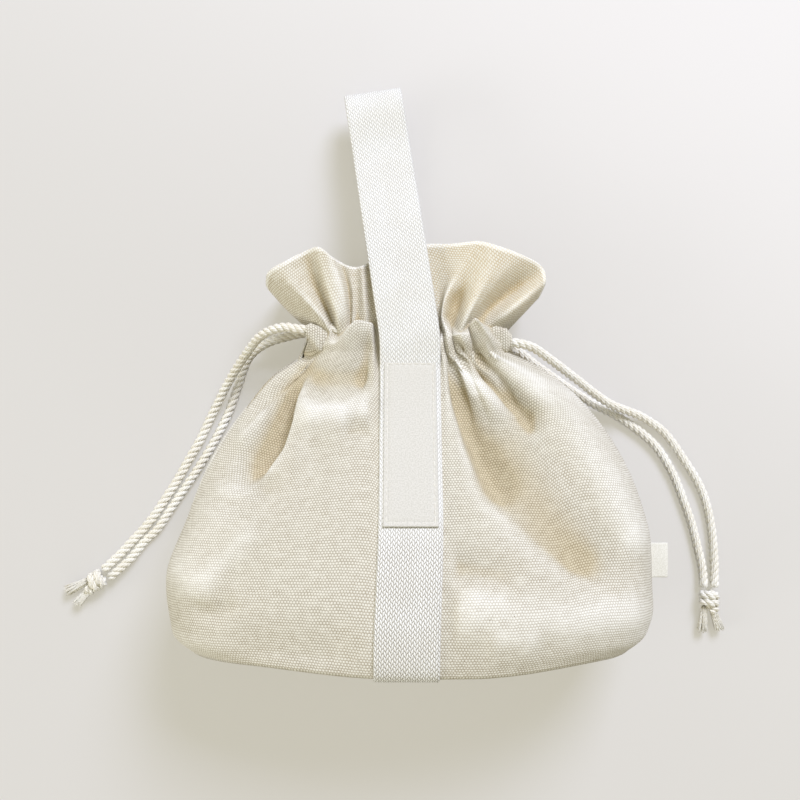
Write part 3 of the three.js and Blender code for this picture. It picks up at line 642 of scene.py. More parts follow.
# Painted light: above the neck, more on the right, the gaps are painted brighter and warmer.
lit_through = spot.other(1).between(0.086, 0.1) * (0.4 + 0.6 * spot.between(-0.03, 0.03))
gap = lit_through.mix(highlight_to_shade.mix(HIGHLIT_GAP, SHADED_GAP), highlight_to_shade.mix(LIT_THROUGH_HIGHLIT_GAP, LIT_THROUGH_SHADED_GAP))
showing = (raised + (slub - 0.5) * 0.3 + (thickness - 0.5) * 0.3).between(0.02, 0.72)
cloth = showing.mix(gap, DOT).times(fold.between(-0.8, 0.2).mix(HIGHLIGHT_TONE, OPEN_TONE))
cloth = cloth.times(PAINTED_SHADE_TONE, fold.between(0.05, 1.1))
(fleck * 0.75).mix(cloth, SEED_FLECK).into(shader["Base Color"])
relief = raised + slub * 0.3
relief.emboss(shader, 0.5, 0.00035)

# The front's cloth itself. Base seam, side seams and the neck's right end keep the folds from lifting it.
# Strengths of the painted shade in hollows and valleys and of the painted highlight on ridges and along the
# hem.
BODY_BEND, FRILL_BEND, SHADE_GAIN = 0.3, 0.6, 1.3
SHALLOW, FULL_VALLEY, FULL_RIDGE = 2.0, 6.0, 16.0
DEEPEST = 0.8
HEM_ROWS = 2
front_points = settle(lay_cloth(front_table, low_line, fold_points, fold_u))
normal = outward(front_points)
row_share = np.linspace(0, 1, LOW_ROWS)[:, None]
push = crumple(front_points, normal) * ease(0, 0.09, 1 - np.abs(u_all))
push[:LOW_ROWS] *= ease(0, 0.05, row_share)
push[:LOW_ROWS] *= 1 - ease(0.82, 0.95, row_share) * ease(0.62, 0.76, u_all)
push[LOW_ROWS:] = 0
front_points = front_points + normal * (push + seam_roll(front_points))[..., None]
# Painted shade and highlight for the canvas: darker where the cloth lies deep in a hollow or is pushed into a
# valley, paler on ridges.
bends = hollows(front_points, outward(front_points))
bends[:LOW_ROWS] *= BODY_BEND
bends[LOW_ROWS:] *= FRILL_BEND
bends = bends * np.where(bends > 0, SHADE_GAIN, 1.0)
pushed = np.where(push < 0, np.minimum(push + SHALLOW, 0) / FULL_VALLEY, push / FULL_RIDGE)
# Painted highlight on the listed ridges.
painted_highlight = fold_lift(as_seen(front_points), PAINTED_HIGHLIGHT_RIDGES, STROKE_ENDS)
front_shade_and_highlight = np.clip(bends - pushed - painted_highlight, -1, DEEPEST)
# Painted highlight along the hem.
front_shade_and_highlight[-HEM_ROWS:] = -1
front_cloth = grid_piece("front_cloth", front_points, cloth_uv(front_points), front_shade_and_highlight)
thicken(front_cloth, CANVAS)
front_cloth.data.materials.append(canvas)

# Back of the bag: the second piece of canvas, sewn to the front at its sides. It lies on the table, is
# pleated evenly at the neck and has a flatter frill.
BACK_PLEATS, PLEAT_DEPTH = 11, 4.0
BACK_NECK_Y, BACK_CREST_Y, BACK_CREST_DROP, BACK_NECK_HALF = 74.0, 76.0, 6.0, 52.0
# Fold lines of the back's frill between its seams: share of the cloth, then (x, y, z) from neck to hem
BACK_FOLDS = [
    (-0.86, (46, 88, 21), (55, 99, 14), (62, 107, 10)),
    (-0.66, (38, 89, 12.5), (44, 104, 15), (50, 115, 15)),
    (-0.48, (28, 90, 11), (32, 106, 9), (35, 120, 7)),
    (-0.26, (16, 90, 13.5), (17, 106, 12.5), (18, 122, 12)),
    (0.0, (0, 90, 13.6), (0, 106, 11), (0, 122, 9)),
    (0.26, (-16, 90, 13.5), (-17, 106, 12.5), (-18, 121, 12)),
    (0.48, (-28, 90, 11), (-32, 106, 9), (-35, 120, 7)),
    (0.66, (-38, 89, 12.5), (-44, 105, 15), (-50, 117, 16)),
    (0.86, (-46, 88, 21), (-56, 102, 14), (-66, 112, 10)),
]
back_fold_u = np.array([-1.0, *(fold_line[0] for fold_line in BACK_FOLDS), 1.0])
inner_folds = [np.array(fold_line[1:], float) for fold_line in BACK_FOLDS]
back_fold_points = [fold_points[-1], *inner_folds, fold_points[0]]
back_x, back_z = read_table(back_table, np.full((1, COLUMNS), BACK_NECK_Y))
pleat = 0.5 - 0.5 * np.cos(np.pi * BACK_PLEATS * (u_all + 1))
pleat = pleat * ease(BAND_SHARE + 0.05, BAND_SHARE + 0.2, np.abs(u_all)) * ease(0, 0.12, 1 - np.abs(u_all))
back_crest_y = BACK_CREST_Y - BACK_CREST_DROP * (back_x[0] / BACK_NECK_HALF) ** 2
back_low = np.stack([back_x[0], back_crest_y, back_z[0] - PLEAT_DEPTH * pleat], 1)
back_points = settle(lay_cloth(back_table, back_low, back_fold_points, back_fold_u))
back_points = back_points + outward(back_points) * seam_roll(back_points)[..., None]
back_points[:, :, 2] = np.maximum(back_points[:, :, 2], ON_TABLE)
for edge, front_edge in ((0, -1), (-1, 0)):
    back_points[:, edge] = front_points[:, front_edge]
# Painted shade and highlight for the back's canvas: darker in its hollows, paler on its ridges.
back_shade_and_highlight = hollows(back_points, outward(back_points))
back_cloth = grid_piece("back_cloth", back_points, cloth_uv(back_points), back_shade_and_highlight)
thicken(back_cloth, CANVAS)
back_cloth.data.materials.append(canvas)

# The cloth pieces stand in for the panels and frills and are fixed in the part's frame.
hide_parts("front_panel", "front_frill")
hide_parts("back_panel", "back_frill")
for cloth_piece in (front_cloth, back_cloth):
    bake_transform(cloth_piece)

# Base panel: canvas sewn to the lower edges of front and back. Its seam pushes it out a little, and it
# stands upright while the bag lies on its back.
BASE_ROWS, BASE_COLUMNS = 61, 141
BASE_SUNK, BASE_SWELL = 0.6, 2.0
BASE_END_SLOPE = 60
base_u = np.sin(np.linspace(-math.pi / 2, math.pi / 2, BASE_COLUMNS))
base_front, base_back = section(BASE_Y)
base_back = base_back[::-1]
base_rows = np.linspace(0, 1, BASE_ROWS)
left_end, right_end = base_front[0, 0], base_front[-1, 0]
base_x = np.where(base_u < 0, -left_end, right_end) * base_u
upper = np.interp(base_x, base_front[:, 0], base_front[:, 1])
lower = np.interp(base_x, base_back[:, 0], base_back[:, 1])
base_z = lower + base_rows[:, None] * (upper - lower)
edge_gap = np.minimum(np.minimum(base_z - lower, upper - base_z), (1 - np.abs(base_u)) * BASE_END_SLOPE)
base_y = BASE_Y + BASE_SUNK - BASE_SWELL * ease(-0.5, 4.5, edge_gap)
base_points = settle(grid(base_x, base_y, base_z))
base_uv = np.stack([base_points[:, :, 0], base_points[:, :, 2]], 2)
base_cloth = grid_piece("base_cloth", base_points, base_uv, np.zeros(base_z.shape), merged=True)
thicken(base_cloth, CANVAS)
base_cloth.data.materials.append(canvas)
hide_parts("base_panel")
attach(base_cloth, "bag")

# Drawcord channels: canvas casings sewn into the neck, front and back, puckered by the pull of the cords.
# Their open ends stand out at the sides and are drawn in round the cords.
CHANNEL_Y, CHANNEL_Z = 82.0, {"front": 41.0, "back": 19.0}
CHANNEL_ENDS = (-52.0, 51.0)
CHANNEL_HALF_Y, CHANNEL_HALF_Z, CHANNEL_WALL = 7.0, 3.7, 0.7
CHANNEL_SQUARE = 0.75
CHANNEL_POINTS, CHANNEL_RING = 150, 41
# Distances from the middle between which a casing swells, narrows to its mouth and rises from the cloth
SWELLS, NARROWS, RISES = (36, 46), (45, 52), (36, 50)
NECK_MIDDLE_Z, CHANNEL_SUNK = 30.0, 2.5
KNOB_Y, EXIT_Y = (80.6, 80.2), (84.6, 79.3)
for which, level in CHANNEL_Z.items():
    along = np.linspace(*CHANNEL_ENDS, CHANNEL_POINTS)[:, None]
    turn = np.linspace(0, 2 * math.pi, CHANNEL_RING)[None]
    pucker = 1 + 0.05 * np.cos(along * 1.15 + 3 * np.sin(turn)) + 0.03 * np.cos(along * 2.3 + 2)
    knob, mouth = ease(*SWELLS, np.abs(along)), ease(*NARROWS, np.abs(along))
    knob_y, exit_y = np.where(along < 0, *KNOB_Y), np.where(along < 0, *EXIT_Y)
    middle_y = CHANNEL_Y + knob * (knob_y - CHANNEL_Y) + mouth * (exit_y - knob_y)
    half_y = CHANNEL_HALF_Y - 0.4 * knob - 3.4 * mouth ** 2
    half_z = CHANNEL_HALF_Z + 0.5 * knob - 1.0 * mouth ** 2
    ring_y = half_y * np.sign(np.cos(turn)) * np.abs(np.cos(turn)) ** CHANNEL_SQUARE
    ring_z = half_z * np.sign(np.sin(turn)) * np.abs(np.sin(turn)) ** CHANNEL_SQUARE
    sunk = level - np.sign(level - NECK_MIDDLE_Z) * CHANNEL_SUNK * (1 - ease(*RISES, np.abs(along)))
    tube = grid(along, middle_y + ring_y * pucker, sunk + ring_z * (0.5 + 0.5 * pucker))
    tube_uv = grid(lengths(tube, 1), along)
    channel = grid_piece(which + "_casing", tube, tube_uv, 0 * tube[:, :, 0], merged=True)
    thicken(channel, CHANNEL_WALL)
    channel.data.materials.append(canvas)
    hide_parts(which + "_channel")
    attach(channel, "bag")

# Webbing band: 30 mm cotton tape in one run, sewn up the front of the bag, under the base and up the back.
# It is woven in narrow ribs whose threads slant to and fro.
WEBBING_HALF, WEBBING, SELVEDGE = 15.0, 2.0, 0.8
BAND_TOP, BACK_TOP = 66.0, 60.0
BAND_LIFT, BAND_LEAN = 0.65, 2.1
STRAP_STEP = 2.0
CLOSED_END = 0.001
RIB, PICK = 1.10, 2.35
WEBBING_THREAD = paint(255, 255, 253)
SHADED_WEBBING_GAP, WEBBING_GAP = paint(172, 166, 154), paint(212, 210, 204)
WEBBING_SHADE, WEBBING_PALE = paint(250, 249, 246), paint(255, 255, 254)


def front_height(y):
    """Height of the flat strip of canvas under the band."""
    return np.interp(y, heights, front_table[:, 1, COLUMNS // 2])


def back_height(y):
    """Height of the strip of canvas above the band where the bag lies on it."""
    share = (np.asarray(y) - BASE_Y) / NECK_LENGTH
    return np.maximum(through(SECTIONS[:, 0], SECTIONS[:, 5], share), 0)


def strap(name, path, across, uv_start=0.0):
    """Webbing swept along a path of points, lying across the given unit vectors."""
    tangent = np.gradient(path, axis=0)
    tangent /= np.linalg.norm(tangent, axis=1, keepdims=True)
    up = np.cross(across, tangent)
    flat = np.linspace(-1, 1, 21)[:-1] * (WEBBING_HALF - SELVEDGE)
    bend = np.linspace(-math.pi / 2, math.pi / 2, 5)[:-1]
    side_x = WEBBING_HALF - SELVEDGE + SELVEDGE * np.cos(bend)
    side_z = np.sin(bend) * WEBBING / 2
    ring_x = np.concatenate([flat, side_x, -flat, -side_x])
    ring_z = np.concatenate([0 * flat - WEBBING / 2, side_z, 0 * flat + WEBBING / 2, -side_z])
    ring_x, ring_z = np.append(ring_x, ring_x[0]), np.append(ring_z, ring_z[0])
    round_ring = arc(np.stack([ring_x, ring_z], 1))
    length = uv_start + arc(path)
    points = path[:, None] + ring_x[None, :, None] * across[:, None] + ring_z[None, :, None] * up[:, None]
    for end in (0, -1):
        points[end] = path[end] + (points[end] - path[end]) * CLOSED_END
    uv = grid(round_ring - round_ring[len(flat)] / 2, length[:, None])
    return grid_piece(name, points, uv, merged=True)


def even(points, step):
    """A smooth line through the points, as points an even step apart."""
    points = np.asarray(points, float)
    stops = np.append(0, np.cumsum(np.linalg.norm(np.diff(points, axis=0), axis=1) ** 0.5))
    dense = through(stops, points, np.linspace(0, stops[-1], 4000))
    length = arc(dense)
    at = np.linspace(0, length[-1], max(int(length[-1] / step), 2))
    return np.stack([np.interp(at, length, dense[:, k]) for k in range(points.shape[1])], 1)


webbing, shader, wire = new_finish("webbing", 0.85, sheen=0.15)
place = wire.uv()
across = place.axes()
rib = across / (RIB * MM)
lane = wire.maths("FLOOR", rib)
inside = rib - lane - 0.5
slant = 1 - 2 * wire.maths("FLOORED_MODULO", lane, 2.0)
jitter = place.noise(420, 1)
pick = across.other(1) / (PICK * MM) + slant * inside * 0.55 + lane * 0.5 + (jitter - 0.5) * 0.35
thread = (0.5 + 0.5 * (pick * (2 * math.pi)).cos()) ** 0.65 * (1 - inside * inside * 3.4)
tone = place.noise(60, 3)
spot = wire.node("TexCoord", out=3).axes()
# Painted shade: the gaps between the threads are painted darker on the band's lower part, from a little below
# the label down round the base.
gap = spot.other(1).between(-0.02, 0.0).mix(SHADED_WEBBING_GAP, WEBBING_GAP)
cotton = thread.between(0.0, 0.55).mix(gap, WEBBING_THREAD)
cotton.times(tone.between(0.3, 0.7).mix(WEBBING_SHADE, WEBBING_PALE)).into(shader["Base Color"])
thread.emboss(shader, 0.7, 0.0005)

# The band's course round the bag as (y, z): front, lower edge, base, rear edge, back
front_y = np.linspace(BAND_TOP, -70, 60)
band_line = [(y, front_height(y) + BAND_LIFT) for y in front_y]
band_line += [(-74.5, front_height(-74.5) + 0.1), (-77.2, 90.5), (-77.75, 85)]
band_line += [(-77.75, z) for z in np.linspace(78, 14, 9)]
band_line += [(-77.5, 9.5), (-75.6, 5.6), (-72, 2.6), (-67, 1.3)]
band_line += [(y, back_height(y) + 1.05) for y in np.linspace(-60, BACK_TOP, 40)]
band_path = even(band_line, STRAP_STEP)
band_x = -BAND_LEAN * ease(0, 72, -band_path[:, 0]) * ease(20, 80, band_path[:, 1])
band_path = np.stack([band_x, band_path[:, 0], band_path[:, 1]], 1)
band = strap("band", band_path, np.repeat([[-1.0, 0.0, 0.0]], len(band_path), 0))
band.data.materials.append(webbing)
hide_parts("front_webbing", "base_webbing", "back_webbing")
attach(band, "bag")

# Handle: the same tape carried on as one loop over the mouth, free between front and back. It leans to the
# left where it lies on the frill, and folds back on itself at the top.
LEAN, LEAN_FROM, LEAN_RUN = math.radians(8.5), 75.0, 12.0
HANDLE_WEAVE_FROM = 1.3
# The handle's course before it leans, as (y, z), up from the front and round to the back
handle_line = [
    (60, front_height(60) + BAND_LIFT), (66, front_height(66) + BAND_LIFT), (72, 49.4), (80, 49.6),
    (90, 49.0), (100, 47.6), (113.3, 45.4), (141.5, 39.5), (176.8, 28.0), (205, 24), (212, 17), (205, 10),
    (181, 4.8), (141.5, 2.3), (113.3, 3.8), (100, 7.2), (89.7, 10.2), (74.3, 12.9), (66, 11.6),
    (60, back_height(60) + 1.2),
]
handle_run = even(handle_line, STRAP_STEP)
turned = np.clip(handle_run[:, 0] - LEAN_FROM, 0, None)
radius = LEAN_RUN / LEAN
angle = np.minimum(turned / radius, LEAN)
past = np.maximum(turned - LEAN_RUN, 0)
handle_x = -radius * (1 - np.cos(angle)) - np.sin(angle) * past
handle_y = np.where(turned > 0, LEAN_FROM + radius * np.sin(angle) + np.cos(angle) * past, handle_run[:, 0])
handle_path = np.stack([handle_x, handle_y, handle_run[:, 1]], 1)
handle_across = np.stack([np.cos(angle), np.sin(angle), 0 * angle], 1)
handle = strap("handle_strap", handle_path, handle_across, uv_start=HANDLE_WEAVE_FROM)
handle.data.materials.append(webbing)
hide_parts("handle_front_leg", "handle_grip", "handle_back_leg")
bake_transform(handle)

# Label patch: a bare strip of smooth cotton tape, its ends turned under, sewn on the band all round.
# It swells a little between its seams, most along the lower fold.
LABEL_HALF, LABEL_FROM, LABEL_TO, LABEL = 12.75, -8.0, 69.5, 0.8
LABEL_ROWS, LABEL_COLUMNS = 121, 41
LABEL_GAP = 0.1
TAPE_ACROSS, TAPE_UP = 0.42, 0.72
LABEL_DARK, LABEL_PALE = paint(214, 211, 201), paint(229, 226, 218)


def label_height(y):
    """Height of the label's upper face where it lies flat on the band."""
    return front_height(y) + BAND_LIFT + WEBBING / 2 + LABEL + LABEL_GAP


def cotton_tape(name, dark, pale):
    """The finish of a smooth, finely woven tape."""
    material, shader, wire = new_finish(name, 0.8, sheen=0.1)
    place = wire.uv()
    across = place.axes()
    warp = (across * (2 * math.pi / (TAPE_ACROSS * MM))).cos()
    fine = warp * (across.other(1) * (2 * math.pi / (TAPE_UP * MM))).cos()
    tone = place.noise(1500, 2)
    tone.between(0.3, 0.7).mix(dark, pale).into(shader["Base Color"])
    fine.emboss(shader, 0.4, 0.0001)
    return material


label_x = np.linspace(-LABEL_HALF, LABEL_HALF, LABEL_COLUMNS)
label_y = np.linspace(LABEL_FROM, LABEL_TO, LABEL_ROWS)[:, None]
rim = np.minimum(LABEL_HALF - np.abs(label_x)[None], np.minimum(label_y - LABEL_FROM, LABEL_TO - label_y))
puff = 0.25 * ease(0, 5, rim) - 0.35 * np.exp(-((rim - 1.7) / 0.7) ** 2)
puff = puff + 0.55 * np.exp(-((label_y - LABEL_FROM - 0.7) / 0.9) ** 2)
label_z = label_height(label_y) + puff
label_points = grid(label_x, label_y, label_z)
label = grid_piece("label_tape", label_points, label_points[:, :, :2].copy())
thicken(label, LABEL)
label.data.materials.append(cotton_tape("tape", LABEL_DARK, LABEL_PALE))
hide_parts("label_patch")
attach(label, "bag")

# Stitching of the label: cotton thread in a straight row of stitches along all four sides, a little in from
# the edge, drawn down into label and band.
THREAD, STITCH, STITCH_PITCH, STITCH_IN = 0.28, 2.3, 3.1, 1.6
STITCH_POINTS = 7
UV_RADIUS = 1.2
STITCH_DOWN, STITCH_DIP = 0.08, 0.35


def along_line(path):
    """Tangents of a line and two directions across it that don't twist."""
    tangent = np.gradient(path, axis=0)
    tangent /= np.linalg.norm(tangent, axis=1, keepdims=True)
    first = np.cross(tangent[0], (0.0, 0.0, 1.0))
    side = [first / max(np.linalg.norm(first), 1e-9)]
    for t in tangent[1:]:
        kept = side[-1] - t * (side[-1] @ t)
        side.append(kept / np.linalg.norm(kept))
    side = np.array(side)
    return tangent, side, np.cross(tangent, side)


def yarn(name, path, radius, ring=9):
    """One round yarn along a line, its radius given at each point; its ends are left open."""
    tangent, side, up = along_line(path)
    turn = np.linspace(0, 2 * math.pi, ring + 1)
    points = path[:, None] + radius[:, None, None] * (np.cos(turn)[None, :, None] * side[:, None]
                                                      + np.sin(turn)[None, :, None] * up[:, None])
    return grid_piece(name, points, grid(turn * UV_RADIUS, arc(path)[:, None]), merged=True)


def join(name, parts):
    """Several pieces as one mesh."""
    bpy.ops.object.select_all(action="DESELECT")
    for part in parts:
        part.select_set(True)
    bpy.context.view_layer.objects.active = parts[0]
    if len(parts) > 1:
        bpy.ops.object.join()
    whole = bpy.context.view_layer.objects.active
    whole.name = whole.data.name = name
    return whole


left, right = STITCH_IN - LABEL_HALF, LABEL_HALF - STITCH_IN
foot, head = LABEL_FROM + STITCH_IN, LABEL_TO - STITCH_IN
corners = np.array([(left, foot), (right, foot), (right, head), (left, head), (left, foot)])
along_stitch = np.linspace(-1, 1, STITCH_POINTS)
stitches = []
for begin, finish in zip(corners[:-1], corners[1:]):
    count = round(np.linalg.norm(finish - begin) / STITCH_PITCH)
    for k in range(count):
        share = (k + 0.5 + along_stitch / 2 * STITCH / STITCH_PITCH) / count
        spot = begin + share[:, None] * (finish - begin)
        height = label_height(spot[:, 1]) - STITCH_DOWN - STITCH_DIP * along_stitch ** 4
        stitch_path = np.column_stack([spot, height])
        stitches.append(yarn("stitch", stitch_path, np.full(STITCH_POINTS, THREAD), ring=6))
stitching = join("label_stitching", stitches)
sewing_thread, shader, wire = new_finish("sewing_thread", 0.7)
shader["Base Color"].default_value = paint(236, 233, 224)
stitching.data.materials.append(sewing_thread)
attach(stitching, "bag")

# Side tag: a bare loop of the same tape in a paler cotton, caught in the right side seam and folded at its
# outer end. It curls a little.
TAG_COLUMNS, TAG_TAPE, TAG_IN_SEAM = 31, 0.4, 2.0
TAG_DARK, TAG_PALE = paint(235, 233, 222), paint(249, 247, 239)
low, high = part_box("side_tag")
tag_x0, tag_x1 = low[0] / MM - TAG_IN_SEAM, high[0] / MM
tag_z = (low[2] + high[2]) / 2 / MM
tag_profile = even([(tag_x0, 0.55), (tag_x1 - 2, 0.6), (tag_x1 - 0.5, 0.4), (tag_x1, 0), (tag_x1 - 0.5, -0.4),
                    (tag_x1 - 2, -0.6), (tag_x0, -0.55)], TAG_TAPE)
tag_y = np.linspace(low[1] / MM, high[1] / MM, TAG_COLUMNS)[:, None]
tag_x = tag_profile[None, :, 0]
curl = 0.5 * np.cos((tag_y - tag_y.mean()) / 5.0) * ease(tag_x0, tag_x1, tag_x)
tag_points = grid(tag_x, tag_y, tag_z + tag_profile[None, :, 1] + curl)
tag = grid_piece("tag_tape", tag_points, tag_points[:, :, 1::-1].copy())
thicken(tag, TAG_TAPE)
tag.data.materials.append(cotton_tape("tag_cotton", TAG_DARK, TAG_PALE))
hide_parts("side_tag")
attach(tag, "bag")

# Drawcord loops: three-strand twisted cotton cord, 5 mm thick. Each cord runs through both channels and
# turns back at the far side of the neck, so that its two tails leave the bag on one side.
STRAND, OFFSET, LEAD = 1.2, 1.32, 10.5
CORD_STEP = 0.9
STRAND_TIP = 1.2
LANES = {"left": (1, 85.2), "right": (-1, 78.8)}
LOOP_START, LOOP_TURN_AT, LOOP_TURN = 8.7, 36.0, 10.6
PLIES, PLY_LAY = 5, 2.2
PLY_SHADE, PLY_PALE = paint(240, 235, 223), paint(255, 254, 250)
CORD_WARM, CORD_PALE = paint(249, 247, 241), paint(255, 255, 253)


def rope(name, path, thickness=1.0, start=0.0):
    """Three strands laid round a line."""
    tangent, side, up = along_line(path)
    length = arc(path)
    tip = ease(0, STRAND_TIP, length) * ease(0, STRAND_TIP, length[-1] - length)
    strands = []
    for k in range(3):
        phase = 2 * math.pi * (start + length / LEAD + k / 3)
        centre = path + OFFSET * thickness * (np.cos(phase)[:, None] * side + np.sin(phase)[:, None] * up)
        strands.append(yarn(f"{name}_{k}", centre, STRAND * thickness * (0.05 + 0.95 * tip)))
    return join(name, strands)


cotton_cord, shader, wire = new_finish("cotton_cord", 0.9, sheen=0.2)
across = wire.uv().axes()
ply = (across * (PLIES / (UV_RADIUS * MM)) + across.other(1) * (2 * math.pi / (PLY_LAY * MM))).cos()
spot = wire.node("TexCoord", out=3)
fluff = spot.noise(900, 3, "3D")
tone = spot.noise(80, 2, "3D")
pale = (ply * 0.25 + fluff).between(0.1, 0.75).mix(PLY_SHADE, PLY_PALE)
pale.times(tone.between(0.35, 0.7).mix(CORD_WARM, CORD_PALE)).into(shader["Base Color"])
relief = ply * 0.5 + fluff
relief.emboss(shader, 0.6, 0.0003)

for side, (sign, lane_y) in LANES.items():
    bend = np.linspace(math.pi / 2, -math.pi / 2, 13)
    turn_x = LOOP_TURN_AT + LOOP_TURN * np.cos(bend)
    turn_z = NECK_MIDDLE_Z + (CHANNEL_Z["front"] - NECK_MIDDLE_Z) * np.sin(bend)
    loop = [(sign * x, lane_y, CHANNEL_Z["front"]) for x in (-LOOP_START, 8, 24)]
    loop += [(sign * x, lane_y, z) for x, z in zip(turn_x, turn_z)]
    loop += [(sign * x, lane_y, CHANNEL_Z["back"]) for x in (24, 8, -LOOP_START)]
    hidden = rope(side + "_cord_loop", even(loop, CORD_STEP))
    hidden.data.materials.append(cotton_cord)
    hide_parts(side + "_loop")
    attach(hidden, "bag")

# Knots: the two tails of a side tied together in an overhand knot, its turns wrapped across the cords.
# Each knot is given by its middle and by the way that the cords run through it.
KNOTS = {"left": ((-168, -47, 5.4), (-0.85, -0.527, 0)), "right": ((160.6, -57, 5.4), (0, -1, 0))}
UPWARDS = np.array((0, 0, 1.0))
WRAP_PITCH, WRAP_SLANT, WRAP_WIDE, WRAP_HIGH, WRAP_LOWEST = 3.7, 1.3, 3.5, 3.1, 2.3
WRAP_THIN, WRAP_STEP = 0.88, 0.7
WRAP_FROM, WRAP_TO, WRAP_POINTS = -0.25, 2.25, 120
TUCKED, TUCKED_TO = 0.75, 0.05
CORE_HALF, CORE_RADIUS, CORE_POINTS = 5, 2.6, 12
tied = {}
for side, (knot_at, heading) in KNOTS.items():
    heading = np.array(heading)
    cross = np.cross(UPWARDS, heading)
    turn = np.linspace(WRAP_FROM, WRAP_TO, WRAP_POINTS)
    wrap = 2 * math.pi * turn
    open_turn = ease(WRAP_FROM, TUCKED_TO, turn) * ease(WRAP_FROM, TUCKED_TO, WRAP_FROM + WRAP_TO - turn)
    lean_in = 1 - TUCKED * (1 - open_turn)
    coil = (np.array(knot_at) + heading * ((turn - 1) * WRAP_PITCH + WRAP_SLANT * np.cos(wrap))[:, None]
            + cross * (WRAP_WIDE * np.cos(wrap) * lean_in)[:, None]
            + UPWARDS * (WRAP_HIGH * np.sin(wrap) * lean_in)[:, None])
    coil[:, 2] = np.maximum(coil[:, 2], WRAP_LOWEST)
    turns = rope(side + "_knot_turns", even(coil, WRAP_STEP), thickness=WRAP_THIN)
    core = np.array(knot_at) + heading * np.linspace(-CORE_HALF, CORE_HALF, CORE_POINTS)[:, None]
    plump = CORE_RADIUS * np.sin(np.linspace(0.02, math.pi - 0.02, CORE_POINTS)) ** 0.5
    knot = join(side + "_knot_turns", [turns, yarn(side + "_knot_core", core, plump)])
    knot.data.materials.append(cotton_cord)
    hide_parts(side + "_knot")
    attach(knot, side + "_drawcord")
    tied[side] = [knot]

# Frayed ends: below its knot each tail is a brush of loosened cotton yarns that spread to the tip.
# Each end is given by its start at the knot and by its tip.
ENDS = {
    "left_front": ((-174.6, -48, 4.8), (-184.5, -53, 3.6)),
    "left_back": ((-172.2, -52.9, 4.8), (-178.9, -59.9, 3.6)),
    "right_front": ((163.4, -63.8, 4.8), (167.2, -73.7, 3.6)),
    "right_back": ((158, -63.2, 4.8), (157.5, -74.7, 3.6)),
}
FIBRES, FIBRE_IN_KNOT, FIBRE_LOWEST = 46, 3.0, 0.4
BRUSH_START, BRUSH_TIP, BRUSH_LOOSE = 1.7, 3.0, 0.25
FIBRE_RADII = np.array([0.05, 0.42, 0.42, 0.42, 0.42, 0.4, 0.34, 0.03])
chance = np.random.default_rng(7)
for end_name, (start, tip) in ENDS.items():
    start, tip = np.array(start), np.array(tip)
    length = np.linalg.norm(tip - start)
    run = (tip - start) / length
    out = np.cross(UPWARDS, run)
    t = np.linspace(0, 1, len(FIBRE_RADII))[:, None]
    fibres = []
    for k in range(FIBRES):
        spin, far = chance.uniform(0, 2 * math.pi), math.sqrt(chance.uniform(0, 1))
        near = BRUSH_START * far
        wide = BRUSH_TIP * far + chance.normal(0, BRUSH_LOOSE)
        reach = length * chance.uniform(0.88, 1.06) + FIBRE_IN_KNOT
        radial = out * math.cos(spin) + UPWARDS * math.sin(spin) * 0.8
        swirl = np.cross(run, radial) * 0.9 * np.sin(t * 2.6 + spin)
        fibre = start - run * FIBRE_IN_KNOT + run * reach * t
        fibre = fibre + radial * (near + (wide - near) * t**1.6) + swirl * 0.6
        fibre[:, 2] = np.maximum(fibre[:, 2], FIBRE_LOWEST)
        fibres.append(yarn(f"fibre_{k}", fibre, FIBRE_RADII, ring=5))
    brush = join(end_name + "_brush", fibres)
    brush.data.materials.append(cotton_cord)
    side = end_name.split("_")[0]
    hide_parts(end_name + "_end")
    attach(brush, side + "_drawcord")
    tied[side].append(brush)

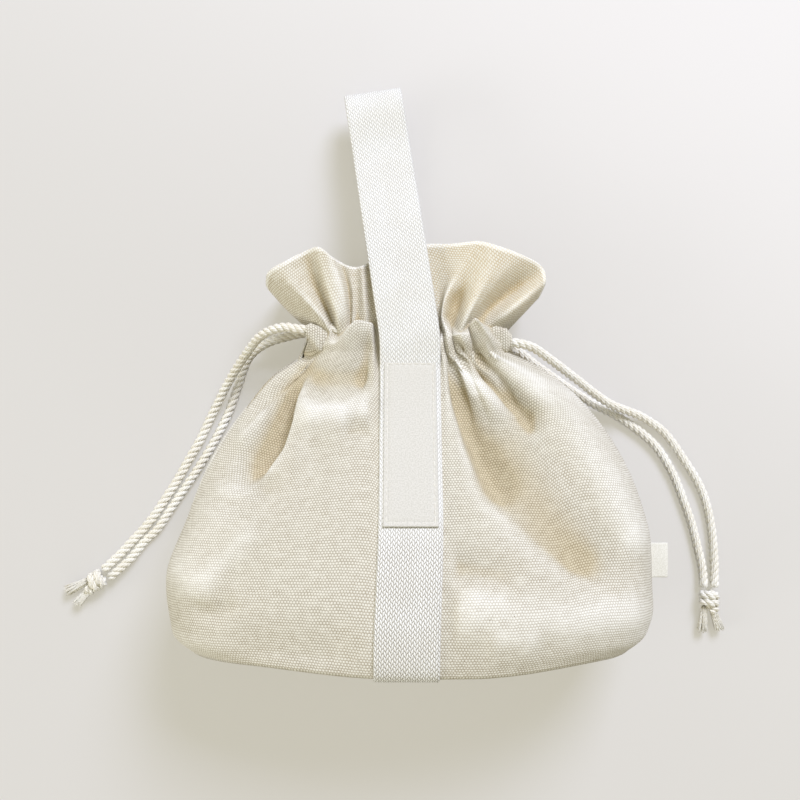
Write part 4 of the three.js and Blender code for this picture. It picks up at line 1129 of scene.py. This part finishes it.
# Tails: the free runs of the cords, out of the channels and loosely over the table to the knots.
# Each starts in its lane of a channel; the points beyond the channel are listed.
IN_CHANNEL = (9, 24, 38)
TAILS = {
    "left_front": [
        (-54, 85.4, 41), (-64, 86.6, 38.5), (-75.4, 83.2, 31.5), (-86, 73, 20), (-97.1, 58, 9),
        (-102.2, 49, 5), (-107.1, 39.9, 2.8), (-112.5, 28.4, 2.65), (-118.3, 18.5, 2.6), (-124.2, 7.9, 2.6),
        (-131, -2.7, 2.6), (-137.3, -12.2, 2.6), (-142.3, -18.5, 2.6), (-149.3, -26.1, 2.8),
        (-155.9, -33.4, 3.8), (-164.2, -41.2, 5.2),
    ],
    "left_back": [
        (-54, 85, 18.8), (-65, 83, 17), (-76, 79.6, 13.6), (-85.4, 72.7, 8), (-91.2, 59.7, 3.6),
        (-96.1, 45.7, 2.7), (-103.5, 30.1, 2.6), (-113.4, 13.5, 2.6), (-124.6, -3.1, 2.6),
        (-129.8, -10.9, 2.6), (-135.5, -19.5, 2.6), (-142.1, -25.8, 2.6), (-149, -34.4, 3.4),
        (-153.6, -38.9, 4.2), (-161.1, -45.7, 5.2),
    ],
    "right_front": [
        (53, 78.6, 41), (61.5, 76.6, 38.5), (72, 70.4, 32), (85.6, 61.4, 23), (106.1, 48, 11.5),
        (124.5, 41, 4.6), (137, 32.6, 2.6), (147.3, 18.5, 2.6), (157, 2, 2.6), (161.8, -14.6, 2.6),
        (163.8, -34, 3.2), (163.35, -50.6, 5.2),
    ],
    "right_back": [
        (53, 77.6, 18.8), (66.8, 68, 16), (79.5, 59.6, 11.5), (96.5, 49, 6), (113, 40.5, 3),
        (131, 26.8, 2.6), (141, 11.8, 2.6), (148.4, -6.5, 2.6), (152, -17, 2.6), (154.8, -28, 2.6),
        (157.3, -40, 3.4), (157.85, -50.6, 5.2),
    ],
}
for tail_name, outside in TAILS.items():
    side, which = tail_name.split("_")
    sign, lane_y = LANES[side]
    in_lane = [(-sign * x, lane_y, CHANNEL_Z[which]) for x in IN_CHANNEL]
    route = np.array(in_lane + outside)
    path = even(route, CORD_STEP)
    tail = rope(tail_name + "_cord", path)
    tail.data.materials.append(cotton_cord)
    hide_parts(tail_name + "_tail")
    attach(tail, side + "_drawcord")
